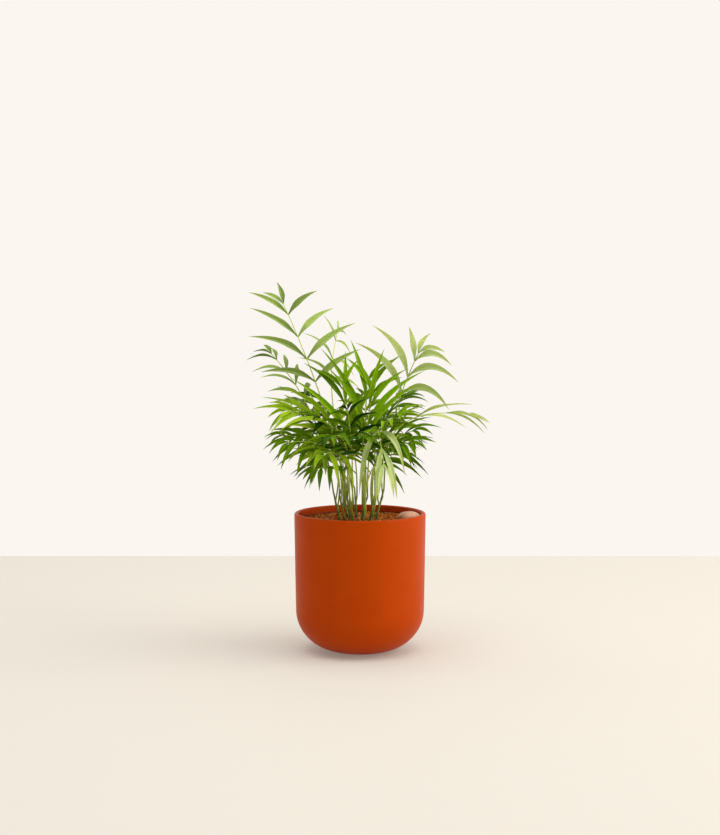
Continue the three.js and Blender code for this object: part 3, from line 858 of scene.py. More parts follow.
@dataclass(frozen=True)
class Pot:
    """A round-cornered pot with a half-round lip, full of soil.

    Attributes:
        radius: Outer, at the rim.
        waist: Outer radius at the top of the rounded lower corner.
        height: Of the rim above the ground.
        foot: Radius of the flat underside.
        corner: Height of the rounded lower corner.
        wall: Thickness of the wall.
        floor: Thickness of the floor.
        floor_radius: Of the level floor inside.
        segments: Steps around the pot.
        corner_steps: Steps up the corner outside, and up the one inside.
        lip_steps: Steps over the lip.
        soil_level: Height of the soil.
        soil_gap: Between soil and pot.
        soil_segments: Steps around the soil.
        soil_step: Between the rings of the soil's top.
        soil_core: Radius that the last of those rings stays outside of.
        soil_tone: The tone of the soil between its crumbs.
        edge_drop: How far the soil falls to the wall.
        edge_width: How wide that fall is.
        lumps: Height of the soil's lumps.
        lump_scales: Their wavelengths.
        lump_seed: Picks where they are.
    """

    radius: float = 75.0
    waist: float = 73.3
    height: float = 158.0
    foot: float = 23.0
    corner: float = 47.0
    wall: float = 5.0
    floor: float = 7.0
    floor_radius: float = 21.0
    segments: int = 192
    corner_steps: tuple[int, int] = (28, 14)
    lip_steps: int = 16
    soil_level: float = 149.0
    soil_gap: float = 0.3
    soil_segments: int = 144
    soil_step: float = 1.5
    soil_core: float = 0.9
    soil_tone: float = 0.2
    edge_drop: float = 1.5
    edge_width: float = 5.0
    lumps: float = 0.55
    lump_scales: tuple[float, ...] = (17, 9, 5, 3.1)
    lump_seed: int = 11

    def corner_points(self, foot: float, radius: float, base: float, height: float, steps: int) -> Vec:
        """A quarter of an ellipse in rows of (radius, height).

        At turn a from straight down, the radius is foot + (radius - foot) sin a, and the height is
        base + height (1 - cos a).

        Args:
            foot: The radius where it starts, level.
            radius: The radius where it ends, upright.
            base: The height where it starts.
            height: How much higher it ends.
            steps: Steps along it.

        Returns:
            The rows, from the lowest up.
        """
        turn = np.linspace(0, np.pi / 2, steps + 1)
        return np.stack([foot + (radius - foot) * np.sin(turn), base + height * (1 - np.cos(turn))], axis=1)

    def soil_radius(self) -> float:
        """The soil's radius at its edge, a gap inside the wall, which widens evenly to the lip.

        Returns:
            The radius.
        """
        top = self.height - self.wall / 2
        edge = self.soil_level - self.edge_drop
        outer = lerp(self.waist, self.radius, (edge - self.corner) / (top - self.corner))
        return outer - self.wall - self.soil_gap

    def cavity_points(self, gap: float) -> Vec:
        """The inner face from its middle to the top of its corner, moved in by a gap.

        Args:
            gap: How far it is moved in.

        Returns:
            Rows of (radius, height).
        """
        base = self.floor + gap
        inner = self.waist - self.wall - gap
        height = self.corner - self.floor
        corner = self.corner_points(self.floor_radius, inner, base, height, self.corner_steps[1])
        return np.concatenate([[[0, base]], corner])

    def shell(self) -> Surface:
        """The pot: its outside corner, the lip's half circle, and the inside back to the axis.

        The walls are straight from the corners' tops to the lip.

        Returns:
            The closed surface.
        """
        lip = self.wall / 2
        turn = np.linspace(0, np.pi, self.lip_steps + 1)
        middle = np.array([self.radius - lip, self.height - lip])
        rim = middle + lip * np.stack([np.cos(turn), np.sin(turn)], axis=1)
        outside = self.corner_points(self.foot, self.waist, 0, self.corner, self.corner_steps[0])
        profile = np.concatenate([[[0, 0]], outside, rim, self.cavity_points(0)[::-1]])
        return lathe(profile, self.segments)

    def soil_height(self, where: Vec) -> Vec:
        """The soil's top at level places: level, lumpy, and falling away near the wall.

        Args:
            where: Rows of (x, y).

        Returns:
            A height for each row.
        """
        reach = np.linalg.norm(where, axis=-1)
        edge = smoothstep((reach - self.soil_radius() + self.edge_width) / self.edge_width)
        lumps = self.lumps * wobble(where, self.lump_scales, self.lump_seed)
        return self.soil_level - self.edge_drop * edge + lumps

    def soil_body(self) -> Surface:
        """The filling: the cavity's shape, shut by the lumpy top in close rings.

        Returns:
            The closed surface.
        """
        rings = np.arange(self.soil_radius(), self.soil_core, -self.soil_step)
        top = np.stack([rings, np.full(len(rings), self.soil_level)], axis=1)
        profile = np.concatenate([self.cavity_points(self.soil_gap), top, [[0, self.soil_level]]])
        surface = lathe(profile, self.soil_segments)
        on_top = surface.points[:, 2] == self.soil_level
        surface.points[on_top, 2] = self.soil_height(surface.points[on_top, :2])
        surface.tone[:] = self.soil_tone
        return surface

    def dress(self, effects: Effects, crumbs: "Crumbs", pebble: "Pebble") -> None:
        """Makes the pot, the soil and its crumbs.

        Args:
            effects: The shared shader groups.
            crumbs: What lies loose on the soil.
            pebble: What crumbs keep clear of.
        """
        make_piece("pot_shell", self.shell(), ClayFinish().make(effects), ["pot"])
        finish = EarthFinish().make(effects)
        make_piece("soil_bed", self.soil_body(), finish, ["potting_soil"])
        make_piece("soil_crumbs", crumbs.surface(self, pebble), finish, [])


@dataclass(frozen=True)
class Crumbs:
    """Loose crumbs bedded in the soil's top: lumps of twenty faces, squashed at random.

    Attributes:
        count: How many are strewn, with those that would lie under the pebble.
        sizes: The smallest and largest radius.
        rarity: How rare large ones are: the power of an even draw.
        dents: Least and most reach of a corner, over the radius.
        squash: Least and most stretch of a crumb along an axis.
        standing: How far its middle stands above the soil, over its radius.
        off_wall: How far the outermost one's middle is from the wall.
        seed: Picks their places, sizes and tones.
    """

    count: int = 2600
    sizes: tuple[float, float] = (0.6, 2.1)
    rarity: float = 2.5
    dents: tuple[float, float] = (0.7, 1.15)
    squash: tuple[float, float] = (0.65, 1.25)
    standing: float = 0.25
    off_wall: float = 1.6
    seed: int = 5

    @staticmethod
    def lump() -> tuple[Vec, Vec]:
        """The corners of a ball of twenty faces, an icosahedron of radius 1, and those faces.

        Returns:
            Its corners, and rows of corner numbers.
        """
        golden = (1 + 5**0.5) / 2
        corner = np.array([(-1, golden, 0), (1, golden, 0), (-1, -golden, 0), (1, -golden, 0),
                           (0, -1, golden), (0, 1, golden), (0, -1, -golden), (0, 1, -golden),
                           (golden, 0, -1), (golden, 0, 1), (-golden, 0, -1), (-golden, 0, 1)])
        face = np.array([(0, 11, 5), (0, 5, 1), (0, 1, 7), (0, 7, 10), (0, 10, 11), (1, 5, 9), (5, 11, 4),
                         (11, 10, 2), (10, 7, 6), (7, 1, 8), (3, 9, 4), (3, 4, 2), (3, 2, 6), (3, 6, 8),
                         (3, 8, 9), (4, 9, 5), (2, 4, 11), (6, 2, 10), (8, 6, 7), (9, 8, 1)])
        return unit(corner), face

    def surface(self, pot: Pot, pebble: "Pebble") -> Surface:
        """All the crumbs, each with its corners moved in or out, scaled unevenly and turned.

        Args:
            pot: The pot whose soil they lie on.
            pebble: The pebble, under which no crumb is put.

        Returns:
            One surface of all the crumbs.
        """
        rng = np.random.default_rng(self.seed)
        reach = (pot.radius - pot.wall - self.off_wall) * np.sqrt(rng.uniform(0, 1, self.count))
        turn = rng.uniform(0, 2 * np.pi, self.count)
        at = np.stack([reach * np.cos(turn), reach * np.sin(turn)], axis=1)
        at = at[~pebble.covers(at)]
        count = len(at)
        corner, face = self.lump()
        size = lerp(*self.sizes, rng.uniform(0, 1, count) ** self.rarity)
        lumps = corner[None] * rng.uniform(*self.dents, (count, len(corner), 1))
        lumps = lumps * rng.uniform(*self.squash, (count, 1, 3)) * size[:, None, None]
        axes = np.linalg.qr(rng.normal(size=(count, 3, 3)))[0]
        axes *= np.sign(np.linalg.det(axes))[:, None, None]
        points = lumps @ axes
        points[..., :2] += at[:, None]
        points[..., 2] += (pot.soil_height(at) + self.standing * size)[:, None]
        faces = (face[None] + np.arange(count)[:, None, None] * len(corner)).reshape(-1, 3)
        tone = np.repeat(rng.uniform(0, 1, count), len(corner))
        return Surface(points.reshape(-1, 3), [faces], np.zeros((len(tone), 2)), tone)


@dataclass(frozen=True)
class Pebble:
    """A flat, water-worn pebble bedded on the soil.

    Attributes:
        at: Where its middle is.
        radii: Half its length, width and height.
        turn: Of its length from +X, in degrees.
        bed: The share of its half height that is above its flat underside.
        base: Height of that underside.
        dents: Depth of its dents, over the radius.
        dent_scales: Their wavelengths, over the radius.
        dent_seed: Picks where they are.
        steps: Steps from pole to pole, and around.
        cover: Square of the share of its radii within which it hides the soil.
    """

    at: tuple[float, float] = (56.0, 4.0)
    radii: tuple[float, float, float] = (13.0, 11.5, 6.0)
    turn: float = 20.0
    bed: float = 0.55
    base: float = 149.3
    dents: float = 0.035
    dent_scales: tuple[float, ...] = (1.4, 0.8)
    dent_seed: int = 3
    steps: tuple[int, int] = (40, 72)
    cover: float = 0.8

    def covers(self, where: Vec) -> Vec:
        """True for level places that are under the pebble's middle."""
        shift = (where - np.array(self.at)) / np.array(self.radii[:2])
        return np.sum(shift**2, axis=-1) < self.cover

    def surface(self) -> Surface:
        """A ball with soft dents, cut level below, squashed to its radii and turned about +Z.

        Returns:
            The closed surface.
        """
        turn = np.linspace(0, np.pi, self.steps[0] + 1)
        ball = lathe(np.stack([np.sin(turn), -np.cos(turn)], axis=1), self.steps[1])
        points = ball.points
        points *= 1 + self.dents * wobble(points, self.dent_scales, self.dent_seed)[:, None]
        points[:, 2] = np.maximum(points[:, 2], -self.bed)
        points *= np.array(self.radii)
        a = radians(self.turn)
        spun = points @ np.array([[cos(a), sin(a), 0], [-sin(a), cos(a), 0], [0, 0, 1]])
        ball.points = spun + np.array([*self.at, self.base + self.bed * self.radii[2]])
        return ball

    def dress(self, effects: Effects) -> None:
        """Makes the pebble."""
        make_piece("pebble_worn", self.surface(), StoneFinish().make(effects), ["pebble"])


# ---------------------------------------------------------------- the plant's rule

GAP = 0.3  # between pieces that grow from each other
SPREAD = (52.0, 32.0)  # degrees between leaflet and rib, for the lowest and the last full pair
DROOP = 60.0  # degrees that a level leaflet bends down to its tip
LENGTHS = (0.92, 0.66)  # of the first and last full pair, over the longest
LONGEST = 0.3  # where the longest pair stands, as a share of the feathered rib
RAISE = 12.0  # degrees that leaflets rise out of the frond's plane
UPRIGHT_DROOP = 0.7  # share of the droop that an upright leaflet keeps
MOST_DROOP = 0.85  # of the angle from a leaflet's first direction to straight down
ARCHING_FACE = 60.0  # elevation that an arching frond's upper face looks to, leaning inwards
JITTER = {"spread": 6.0, "raise": 9.0, "droop": 10.0, "length": 0.08, "roll": 22.0}
END_PAIR = {"spread": 22.0, "length": 0.4, "step": 0.5, "jitter": 0.3}
TRIES = (0, 9, -9, 18, -18, 28, -28, 40, -40)  # liftings of a leaflet, in degrees
SHORTER = (1.0, 0.8)
PALENESS = 9  # keys the draw that makes a whole frond lighter or darker
BETWEEN = 50  # added to a pair's number for the smaller pair above it
FOOT_TRIES = (0, 35, -35, 70, -70, 105, -105, 140, -140, 180)  # turns of a rib's foot
MATCH = 0.08  # how near a node's point has to be to count as the rule's own


@dataclass(frozen=True)
class Frond:
    """One frond of a seedling.

    Attributes:
        tip: Place of its rib's tip.
        bow: The rib's upward bow in its middle.
        bare: Share of the rib that is bare stalk.
        pairs: Pairs of leaflets.
        leaf: Length of its longest leaflet.
        leaves: Where it leaves the stem, as a share of the stem's height.
        tint: The tint that it is dealt.
        sway: The rib's sideways bow.
        face: Heading and elevation that its upper face looks to, if it has its own.
        spread: Degrees between leaflet and rib, for the lowest and the last full pair.
        droop: Degrees that a level leaflet bends down.
        skew: Degrees that its right leaflets stand wider, and its left ones closer.
        fill: True if smaller leaflets stand between the pairs.
        slim: A leaflet's width over the full width.
        pale: How much lighter its leaflets are than their tint's middle, from -1 to 1: painted light
            and shade, darker for fronds in the crown's shade and lighter for lit outer ones.
    """

    tip: tuple[float, float, float]
    bow: float
    bare: float
    pairs: int
    leaf: float
    leaves: float
    tint: Tint = Tint.DEEP
    sway: float = 0.0
    face: tuple[float, float] | None = None
    spread: tuple[float, float] = SPREAD
    droop: float = DROOP
    skew: float = 0.0
    fill: bool = False
    slim: float = 1.0
    pale: float = 0.0


@dataclass(frozen=True)
class Seedling:
    """A seedling: one leaning stem and its fronds.

    Attributes:
        foot: Where it stands.
        lean: The heading and the tilt of its stem, in degrees.
        height: Of its stem above its foot.
        fronds: Its fronds, from the frame's a to c.
        foot_radius: Of the stem at its foot.
        flare: Height of the flare at the foot.
        radius: Of the stem just above the flare.
        tip_radius: Of the stem's top.
        base: Height of the foot.
    """

    foot: tuple[float, float]
    lean: tuple[float, float]
    height: float
    fronds: tuple[Frond, ...]
    foot_radius: float = 2.4
    flare: float = 6.0
    radius: float = 1.7
    tip_radius: float = 1.3
    base: float = 149.3

    def point(self, rise: Any) -> Vec:
        """The points on its leaning line at heights above its foot.

        Args:
            rise: The heights.

        Returns:
            A point for each height.
        """
        way = sky_way(self.lean[0], 90 - self.lean[1])
        rise = np.asarray(rise, float)[..., None]
        return np.array([*self.foot, self.base]) + way * rise / way[2]

    def thickness(self, rise: Any) -> Any:
        """Its radius at a height: a flare at the foot, then an even taper.

        Args:
            rise: The height.

        Returns:
            The radius.
        """
        flared = lerp(self.foot_radius, self.radius, np.clip(rise / self.flare, 0, 1))
        taper = (rise - self.flare) / (self.height - self.flare)
        return np.where(rise < self.flare, flared, lerp(self.radius, self.tip_radius, taper))


FRESH, VIVID, PAINTED_SHEEN, PAINTED_BACKLIGHT, OLIVE = Tint.FRESH, Tint.VIVID, Tint.PAINTED_SHEEN, Tint.PAINTED_BACKLIGHT, Tint.OLIVE

# Each frond's pale is painted light and shade: darker for fronds in the crown's shade, lighter for lit
# outer ones.
SEEDLINGS = (
    Seedling((-23, 1), (182, 13), 33, (
        Frond((-84, -8, 276), 26, 0.42, 6, 68, 0.62, FRESH, face=(265, 50), pale=0.25),
        Frond((-104, 40, 339), 16, 0.52, 6, 64, 1, PAINTED_SHEEN),
        Frond((-88, 6, 246), 28, 0.44, 5, 70, 0.45, face=(268, 58), pale=0.7),
    )),
    Seedling((-17, -11), (212, 14), 30, (
        Frond((-80, -54, 242), 30, 0.42, 5, 74, 0.8, face=(262, 50), pale=0.8),
        Frond((-40, -84, 230), 32, 0.5, 4, 78, 0.5, FRESH, spread=(62, 36), droop=80, slim=1.15),
        Frond((-76, -36, 276), 34, 0.46, 5, 88, 1, FRESH,
              face=(272, 55), spread=(34, 18), droop=46, slim=1.1, pale=0.25),
    )),
    Seedling((-8, -16), (235, 12), 32, (
        Frond((-30, -88, 252), 28, 0.5, 4, 74, 1, VIVID, spread=(75, 40), droop=66, slim=1.05, pale=-0.4),
        Frond((-14, -58, 280), 14, 0.46, 5, 60, 0.75, pale=-0.3),
        Frond((-50, -58, 212), 26, 0.5, 5, 60, 0.45, pale=0.6),
    )),
    Seedling((3, -16), (300, 12), 29, (
        Frond((4, -80, 250), 28, 0.5, 5, 56, 0.7, VIVID, droop=44, pale=-0.3),
        Frond((14, -24, 296), 4, 0.56, 3, 108, 1, VIVID,
              face=(268, 10), spread=(16, 9), droop=48, slim=0.9, pale=0.4),
        Frond((50, -58, 232), 24, 0.52, 5, 52, 0.4, pale=0.8),
    )),
    Seedling((11, -10), (328, 13), 31, (
        Frond((26, -88, 218), 60, 0.66, 3, 108, 1, PAINTED_BACKLIGHT, spread=(32, 18), droop=88, slim=0.9),
        Frond((54, -58, 242), 26, 0.44, 5, 74, 0.6, face=(275, 50), pale=0.9),
        Frond((46, -50, 278), 16, 0.46, 5, 60, 0.8, VIVID, pale=0.15),
    )),
    Seedling((18, 1), (2, 15), 35, (
        Frond((122, -6, 270), 44, 0.68, 3, 88, 0.75, PAINTED_BACKLIGHT, spread=(36, 20), droop=40),
        Frond((60, -34, 254), 26, 0.42, 5, 74, 0.5, face=(278, 50), pale=0.9),
        Frond((66, -30, 342), 4, 0.7, 4, 92, 1, PAINTED_BACKLIGHT,
              sway=-10, face=(262, 25), spread=(32, 25), droop=90, slim=1.1, pale=0.35),
    )),
    Seedling((14, 12), (38, 14), 32, (
        Frond((52, 78, 274), 24, 0.42, 6, 60, 0.75, FRESH, pale=0.15),
        Frond((60, 58, 240), 30, 0.44, 6, 52, 0.5, fill=True, slim=0.75, pale=0.9),
        Frond((46, 44, 292), 10, 0.5, 6, 56, 1, FRESH, face=(50, 25), pale=-0.2),
    )),
    Seedling((5, 17), (78, 12), 31, (
        Frond((27, 96, 268), 26, 0.44, 6, 62, 0.75),
        Frond((4, 84, 236), 30, 0.44, 6, 54, 0.5, OLIVE, fill=True, slim=0.75),
        Frond((6, 50, 290), 10, 0.5, 6, 56, 1, FRESH, face=(100, 25), pale=-0.2),
    )),
    Seedling((-4, 17), (112, 10), 33, (
        Frond((-32, 88, 271), 25, 0.44, 6, 62, 0.7),
        Frond((-56, 68, 240), 22, 0.45, 6, 54, 0.4, FRESH, fill=True, slim=0.75, pale=0.4),
        Frond((-26, 85, 364), 20, 0.66, 4, 58, 1, PAINTED_SHEEN,
              sway=22, face=(318, 20), spread=(56, 44), skew=6, slim=0.85, pale=0.2),
    )),
    Seedling((-14, 12), (155, 10), 32, (
        Frond((-74, 60, 282), 24, 0.44, 6, 62, 0.65, FRESH),
        Frond((-78, 46, 242), 30, 0.44, 6, 54, 0.5, fill=True, slim=0.75, pale=0.7),
        Frond((-52, 36, 292), 10, 0.5, 6, 54, 1, face=(150, 25)),
    )),
    Seedling((-11, 2), (178, 8), 38, (
        Frond((-88, 10, 397), 6, 0.56, 5, 79, 1, PAINTED_SHEEN,
              face=(290, 25), spread=(42, 35), droop=44, skew=11, slim=1.1),
        Frond((-20, 2, 300), 6, 0.53, 3, 112, 0.8, VIVID,
              face=(272, 10), spread=(17, 9), droop=46, slim=0.9, pale=0.15),
        Frond((-46, -34, 268), 18, 0.46, 5, 66, 0.6, spread=(44, 24), pale=-0.1),
    )),
    Seedling((2, 0), (15, 8), 36, (
        Frond((8, 8, 306), 6, 0.56, 3, 114, 1, VIVID,
              face=(264, 10), spread=(17, 9), droop=50, slim=0.9, pale=0.4),
        Frond((52, 2, 290), 16, 0.46, 5, 76, 0.75, spread=(42, 22), pale=0.2),
        Frond((34, -52, 268), 22, 0.46, 5, 62, 0.6, VIVID),
    )),
)


@dataclass(frozen=True)
class Place:
    """Where a pair of leaflets grows on its rib.

    Attributes:
        pair: Its number, which keys its draws.
        end: True for the short pair at the rib's end.
        share: How far up the feathered part it is.
        low: Where its root begins, as a share of the rib.
        high: Where its root ends.
    """

    pair: int
    end: bool
    share: float
    low: float
    high: float

    @property
    def length_share(self) -> float:
        """A leaflet's length over the frond's longest.

        Returns:
            The share.
        """
        if self.end:
            return END_PAIR["length"]
        if self.share < LONGEST:
            return lerp(LENGTHS[0], 1, self.share / LONGEST)
        return lerp(1, LENGTHS[1], (self.share - LONGEST) / (1 - LONGEST))


@dataclass(frozen=True)
class Leaflet:
    """How one leaflet stands.

    Attributes:
        arc: The curve of its midrib.
        bend_axis: The level axis that it bends about.
        width: The direction of its width at its root.
        half_width: Half its widest width.
        first: Its first direction.
        side: 1 for the rib's left and -1 for its right.
        tone: How light it is among its kind.
        twist: How far it twists on its way to the tip, in radians.
        phase: Of the wave along its edges.
    """

    arc: Arc
    bend_axis: Vec
    width: Vec
    half_width: float
    first: Vec
    side: int
    tone: float
    twist: float
    phase: float


class NodeProbe:
    """Tells whether a frame node has a point at a place."""

    def __init__(self, name: str) -> None:
        """Reads the points of the node with a name."""
        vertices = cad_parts[name].data.vertices
        flat = np.zeros(len(vertices) * 3, np.float32)
        vertices.foreach_get("co", flat)
        self.points = flat.reshape(-1, 3) / METRES

    def has(self, place: Vec) -> bool:
        """True if a point of the node is within the match distance of the place."""
        return bool(np.min(np.sum((self.points - place) ** 2, axis=1)) < MATCH**2)


@dataclass
class Rib:
    """The rib of one frond and the leaflets on it.

    Attributes:
        seedling: What it grows on.
        frond: Its dimensions.
        number: The frond's number, which keys its draws.
        name: Its node's name.
        foot_radius: The rib's radius at its foot.
        tip_radius: The rib's radius at its tip.
        corner_lift: Degrees that the upper corners of the frame's rib stand above its middle.
        root: Length of rib that a leaflet grows from.
        bend_at: Share of a leaflet's length before its curve's corner point.
        width: A leaflet's widest width: this much, and this share of its length.
        shade: Tone of a frond that is neither pale nor dark.
        shades: How far a frond's own draw moves that tone, and a leaflet's own draw.
        twist: Degrees that a leaflet may twist on its way to the tip.
    """

    seedling: Seedling
    frond: Frond
    number: int
    name: str
    foot_radius: float = 0.9
    tip_radius: float = 0.45
    corner_lift: float = 30.0
    root: float = 3.4
    bend_at: float = 0.45
    width: tuple[float, float] = (5.2, 0.04)
    shade: float = 0.5
    shades: tuple[float, float] = (0.22, 0.38)
    twist: float = 16.0

    def __post_init__(self) -> None:
        """Finds the arc that the frond's node has."""
        self.probe = NodeProbe(self.name)
        self.missed = 0
        if not any(self.starts_from(self.arc_from(foot_turn)) for foot_turn in FOOT_TRIES):
            log.warning("%s: no arc of the rule starts where its node does", self.name)
            self.starts_from(self.arc_from(0))

    # -- the rib's curve

    def bowed(self, foot: Vec) -> Arc:
        """The arc from a foot to the frond's tip, bowed upwards and sideways in its middle.

        Args:
            foot: Where the rib starts.

        Returns:
            The arc.
        """
        end = np.array(self.frond.tip, float)
        chord = unit(end - foot)
        upwards = square_to(UP, chord)
        sideways = np.cross(upwards, chord)
        middle = (foot + end) / 2 + upwards * 2 * self.frond.bow + sideways * 2 * self.frond.sway
        return Arc(foot, middle, end)

    def arc_from(self, foot_turn: float) -> Arc:
        """The arc from the stem's top, or from its side, turned round the stem.

        Args:
            foot_turn: Degrees that the rib's foot is turned round the stem.

        Returns:
            The arc.
        """
        rise = self.seedling.height * self.frond.leaves
        on_stem = self.seedling.point(rise)
        if self.frond.leaves == 1:
            level = np.linalg.norm(self.bowed(on_stem).direction(0.0)[:2])
            return self.bowed(on_stem + UP * (GAP + self.foot_radius * level))
        heading = np.array(self.frond.tip) - on_stem
        heading[2] = 0
        heading = turned(unit(heading), UP, foot_turn)
        reach = float(self.seedling.thickness(rise)) + self.foot_radius + GAP
        return self.bowed(on_stem + heading * reach)

    def starts_from(self, arc: Arc) -> bool:
        """Takes up an arc and its upper face. True if that is how the frond's node starts."""
        self.arc, self.look = arc, self.face_way(arc)
        return self.probe.has(self.corner(0.0))

    def face_way(self, arc: Arc) -> Vec:
        """The way the upper face looks: as stated, or up and inwards with a roll of its own.

        Args:
            arc: The rib's arc.

        Returns:
            A unit vector.
        """
        if self.frond.face:
            return sky_way(*self.frond.face)
        outwards = arc.end - arc.start
        heading = degrees(atan2(-outwards[1], -outwards[0]))
        roll = JITTER["roll"] * chance(self.number)
        return turned(sky_way(heading, ARCHING_FACE), unit(outwards), roll)

    def axes(self, t: Any) -> tuple[Vec, Vec, Vec, Vec]:
        """At t: the rib's middle, the way along it, out of its upper face, and to its left.

        Args:
            t: Shares of the rib.

        Returns:
            A point or three unit vectors for each share, in that order.
        """
        ahead = self.arc.direction(t)
        upper = square_to(self.look, ahead)
        return self.arc.point(t), ahead, upper, np.cross(upper, ahead)

    def thickness(self, t: Any) -> Any:
        """The rib's radius at t, an even taper."""
        return lerp(self.foot_radius, self.tip_radius, t)

    def corner(self, t: float) -> Vec:
        """The top left corner of the frame's three-cornered rib at t."""
        centre, _, upper, left = self.axes(t)
        lift = radians(self.corner_lift)
        return centre + (left * cos(lift) + upper * sin(lift)) * self.thickness(t)

    # -- the leaflets

    def places(self) -> Iterator[Place]:
        """The pairs of the frame's rule, and smaller ones half-way between them.

        Returns:
            The pairs, from the lowest up.
        """
        frond = self.frond
        half = self.root / 2 / np.linalg.norm(self.arc.end - self.arc.start)
        step = (1 - half - frond.bare) / (frond.pairs - 2 + END_PAIR["step"])

        def place(key: int, rank: float) -> Place:
            """The pair at so many steps up the feathered part."""
            centre = frond.bare + rank * step
            return Place(key, False, rank / (frond.pairs - 2), centre - half, centre + half)

        for pair in range(frond.pairs - 1):
            yield place(pair, pair)
            if frond.fill and pair < frond.pairs - 2:
                yield place(pair + BETWEEN, pair + 0.5)
        yield Place(frond.pairs - 1, True, 1, 1 - 2 * half, 1)

    def leaflet(self, place: Place, side: int, lift: float, shorter: float) -> Leaflet:
        """One leaflet by the frame's rule.

        It leaves the rib at a spread from it, raised out of the frond's plane, and bends down
        about the level axis square to its first direction.

        Args:
            place: Where it grows.
            side: 1 for the rib's left and -1 for its right.
            lift: Degrees that it is raised more than its sisters.
            shorter: Its length over its full length.

        Returns:
            The leaflet.
        """
        def draw(key: int) -> float:
            """One of the leaflet's own draws."""
            return chance(self.number, place.pair, side + 1, key)

        centre, ahead, upper, left = self.axes((place.low + place.high) / 2)
        even, jitter = lerp(*self.frond.spread, place.share) - side * self.frond.skew, 1
        if place.end:
            even, jitter = END_PAIR["spread"], END_PAIR["jitter"]
        spread = radians(even + JITTER["spread"] * draw(1) * jitter)
        lifted = radians(RAISE + JITTER["raise"] * draw(2) + lift)
        out = left * side * cos(lifted) + upper * sin(lifted)
        first = ahead * cos(spread) + out * sin(spread)
        length = self.frond.leaf * place.length_share * (1 + JITTER["length"] * draw(3)) * shorter
        fall = float(np.arccos(np.clip(-first[2], -1, 1)))
        bend = self.frond.droop * lerp(UPRIGHT_DROOP, 1, sin(fall)) + JITTER["droop"] * draw(4)
        droop = min(radians(bend), MOST_DROOP * fall)
        sag = square_to(-UP, first)
        last = first * cos(droop) + sag * sin(droop)
        root = centre + left * (side * self.thickness(place.low) / 2)
        middle = root + first * self.bend_at * length
        return Leaflet(
            arc=Arc(root, middle, middle + last * (1 - self.bend_at) * length),
            bend_axis=np.cross(first, sag),
            width=square_to(ahead, first),
            half_width=(self.width[0] + self.width[1] * length) / 2 * self.frond.slim,
            first=first,
            side=side,
            tone=min(max(self.middle_tone() + self.shades[1] * draw(5), 0), 1),
            twist=radians(self.twist) * draw(6),
            phase=draw(7) * np.pi,
        )

    def middle_tone(self) -> float:
        """The tone of the frond's leaflets before each one's draw, with its painted light and shade."""
        return self.shade + self.shades[0] * chance(self.number, 0, 0, PALENESS) + self.frond.pale

    def grown(self, place: Place, side: int) -> Leaflet:
        """The leaflet as its node has it, or in its first position where the node has none.

        Args:
            place: Where it grows.
            side: 1 for the rib's left and -1 for its right.

        Returns:
            The leaflet.
        """
        if place.pair < BETWEEN:
            for shorter in SHORTER:
                for lift in TRIES:
                    leaflet = self.leaflet(place, side, lift, shorter)
                    if self.probe.has(leaflet.arc.end):
                        return leaflet
            self.missed += 1
        return self.leaflet(place, side, 0, 1)

    def leaflets(self) -> list[Leaflet]:
        """All leaflets of the frond."""
        return [self.grown(place, side) for place in self.places() for side in (1, -1)]


# ---------------------------------------------------------------- the plant's meshes


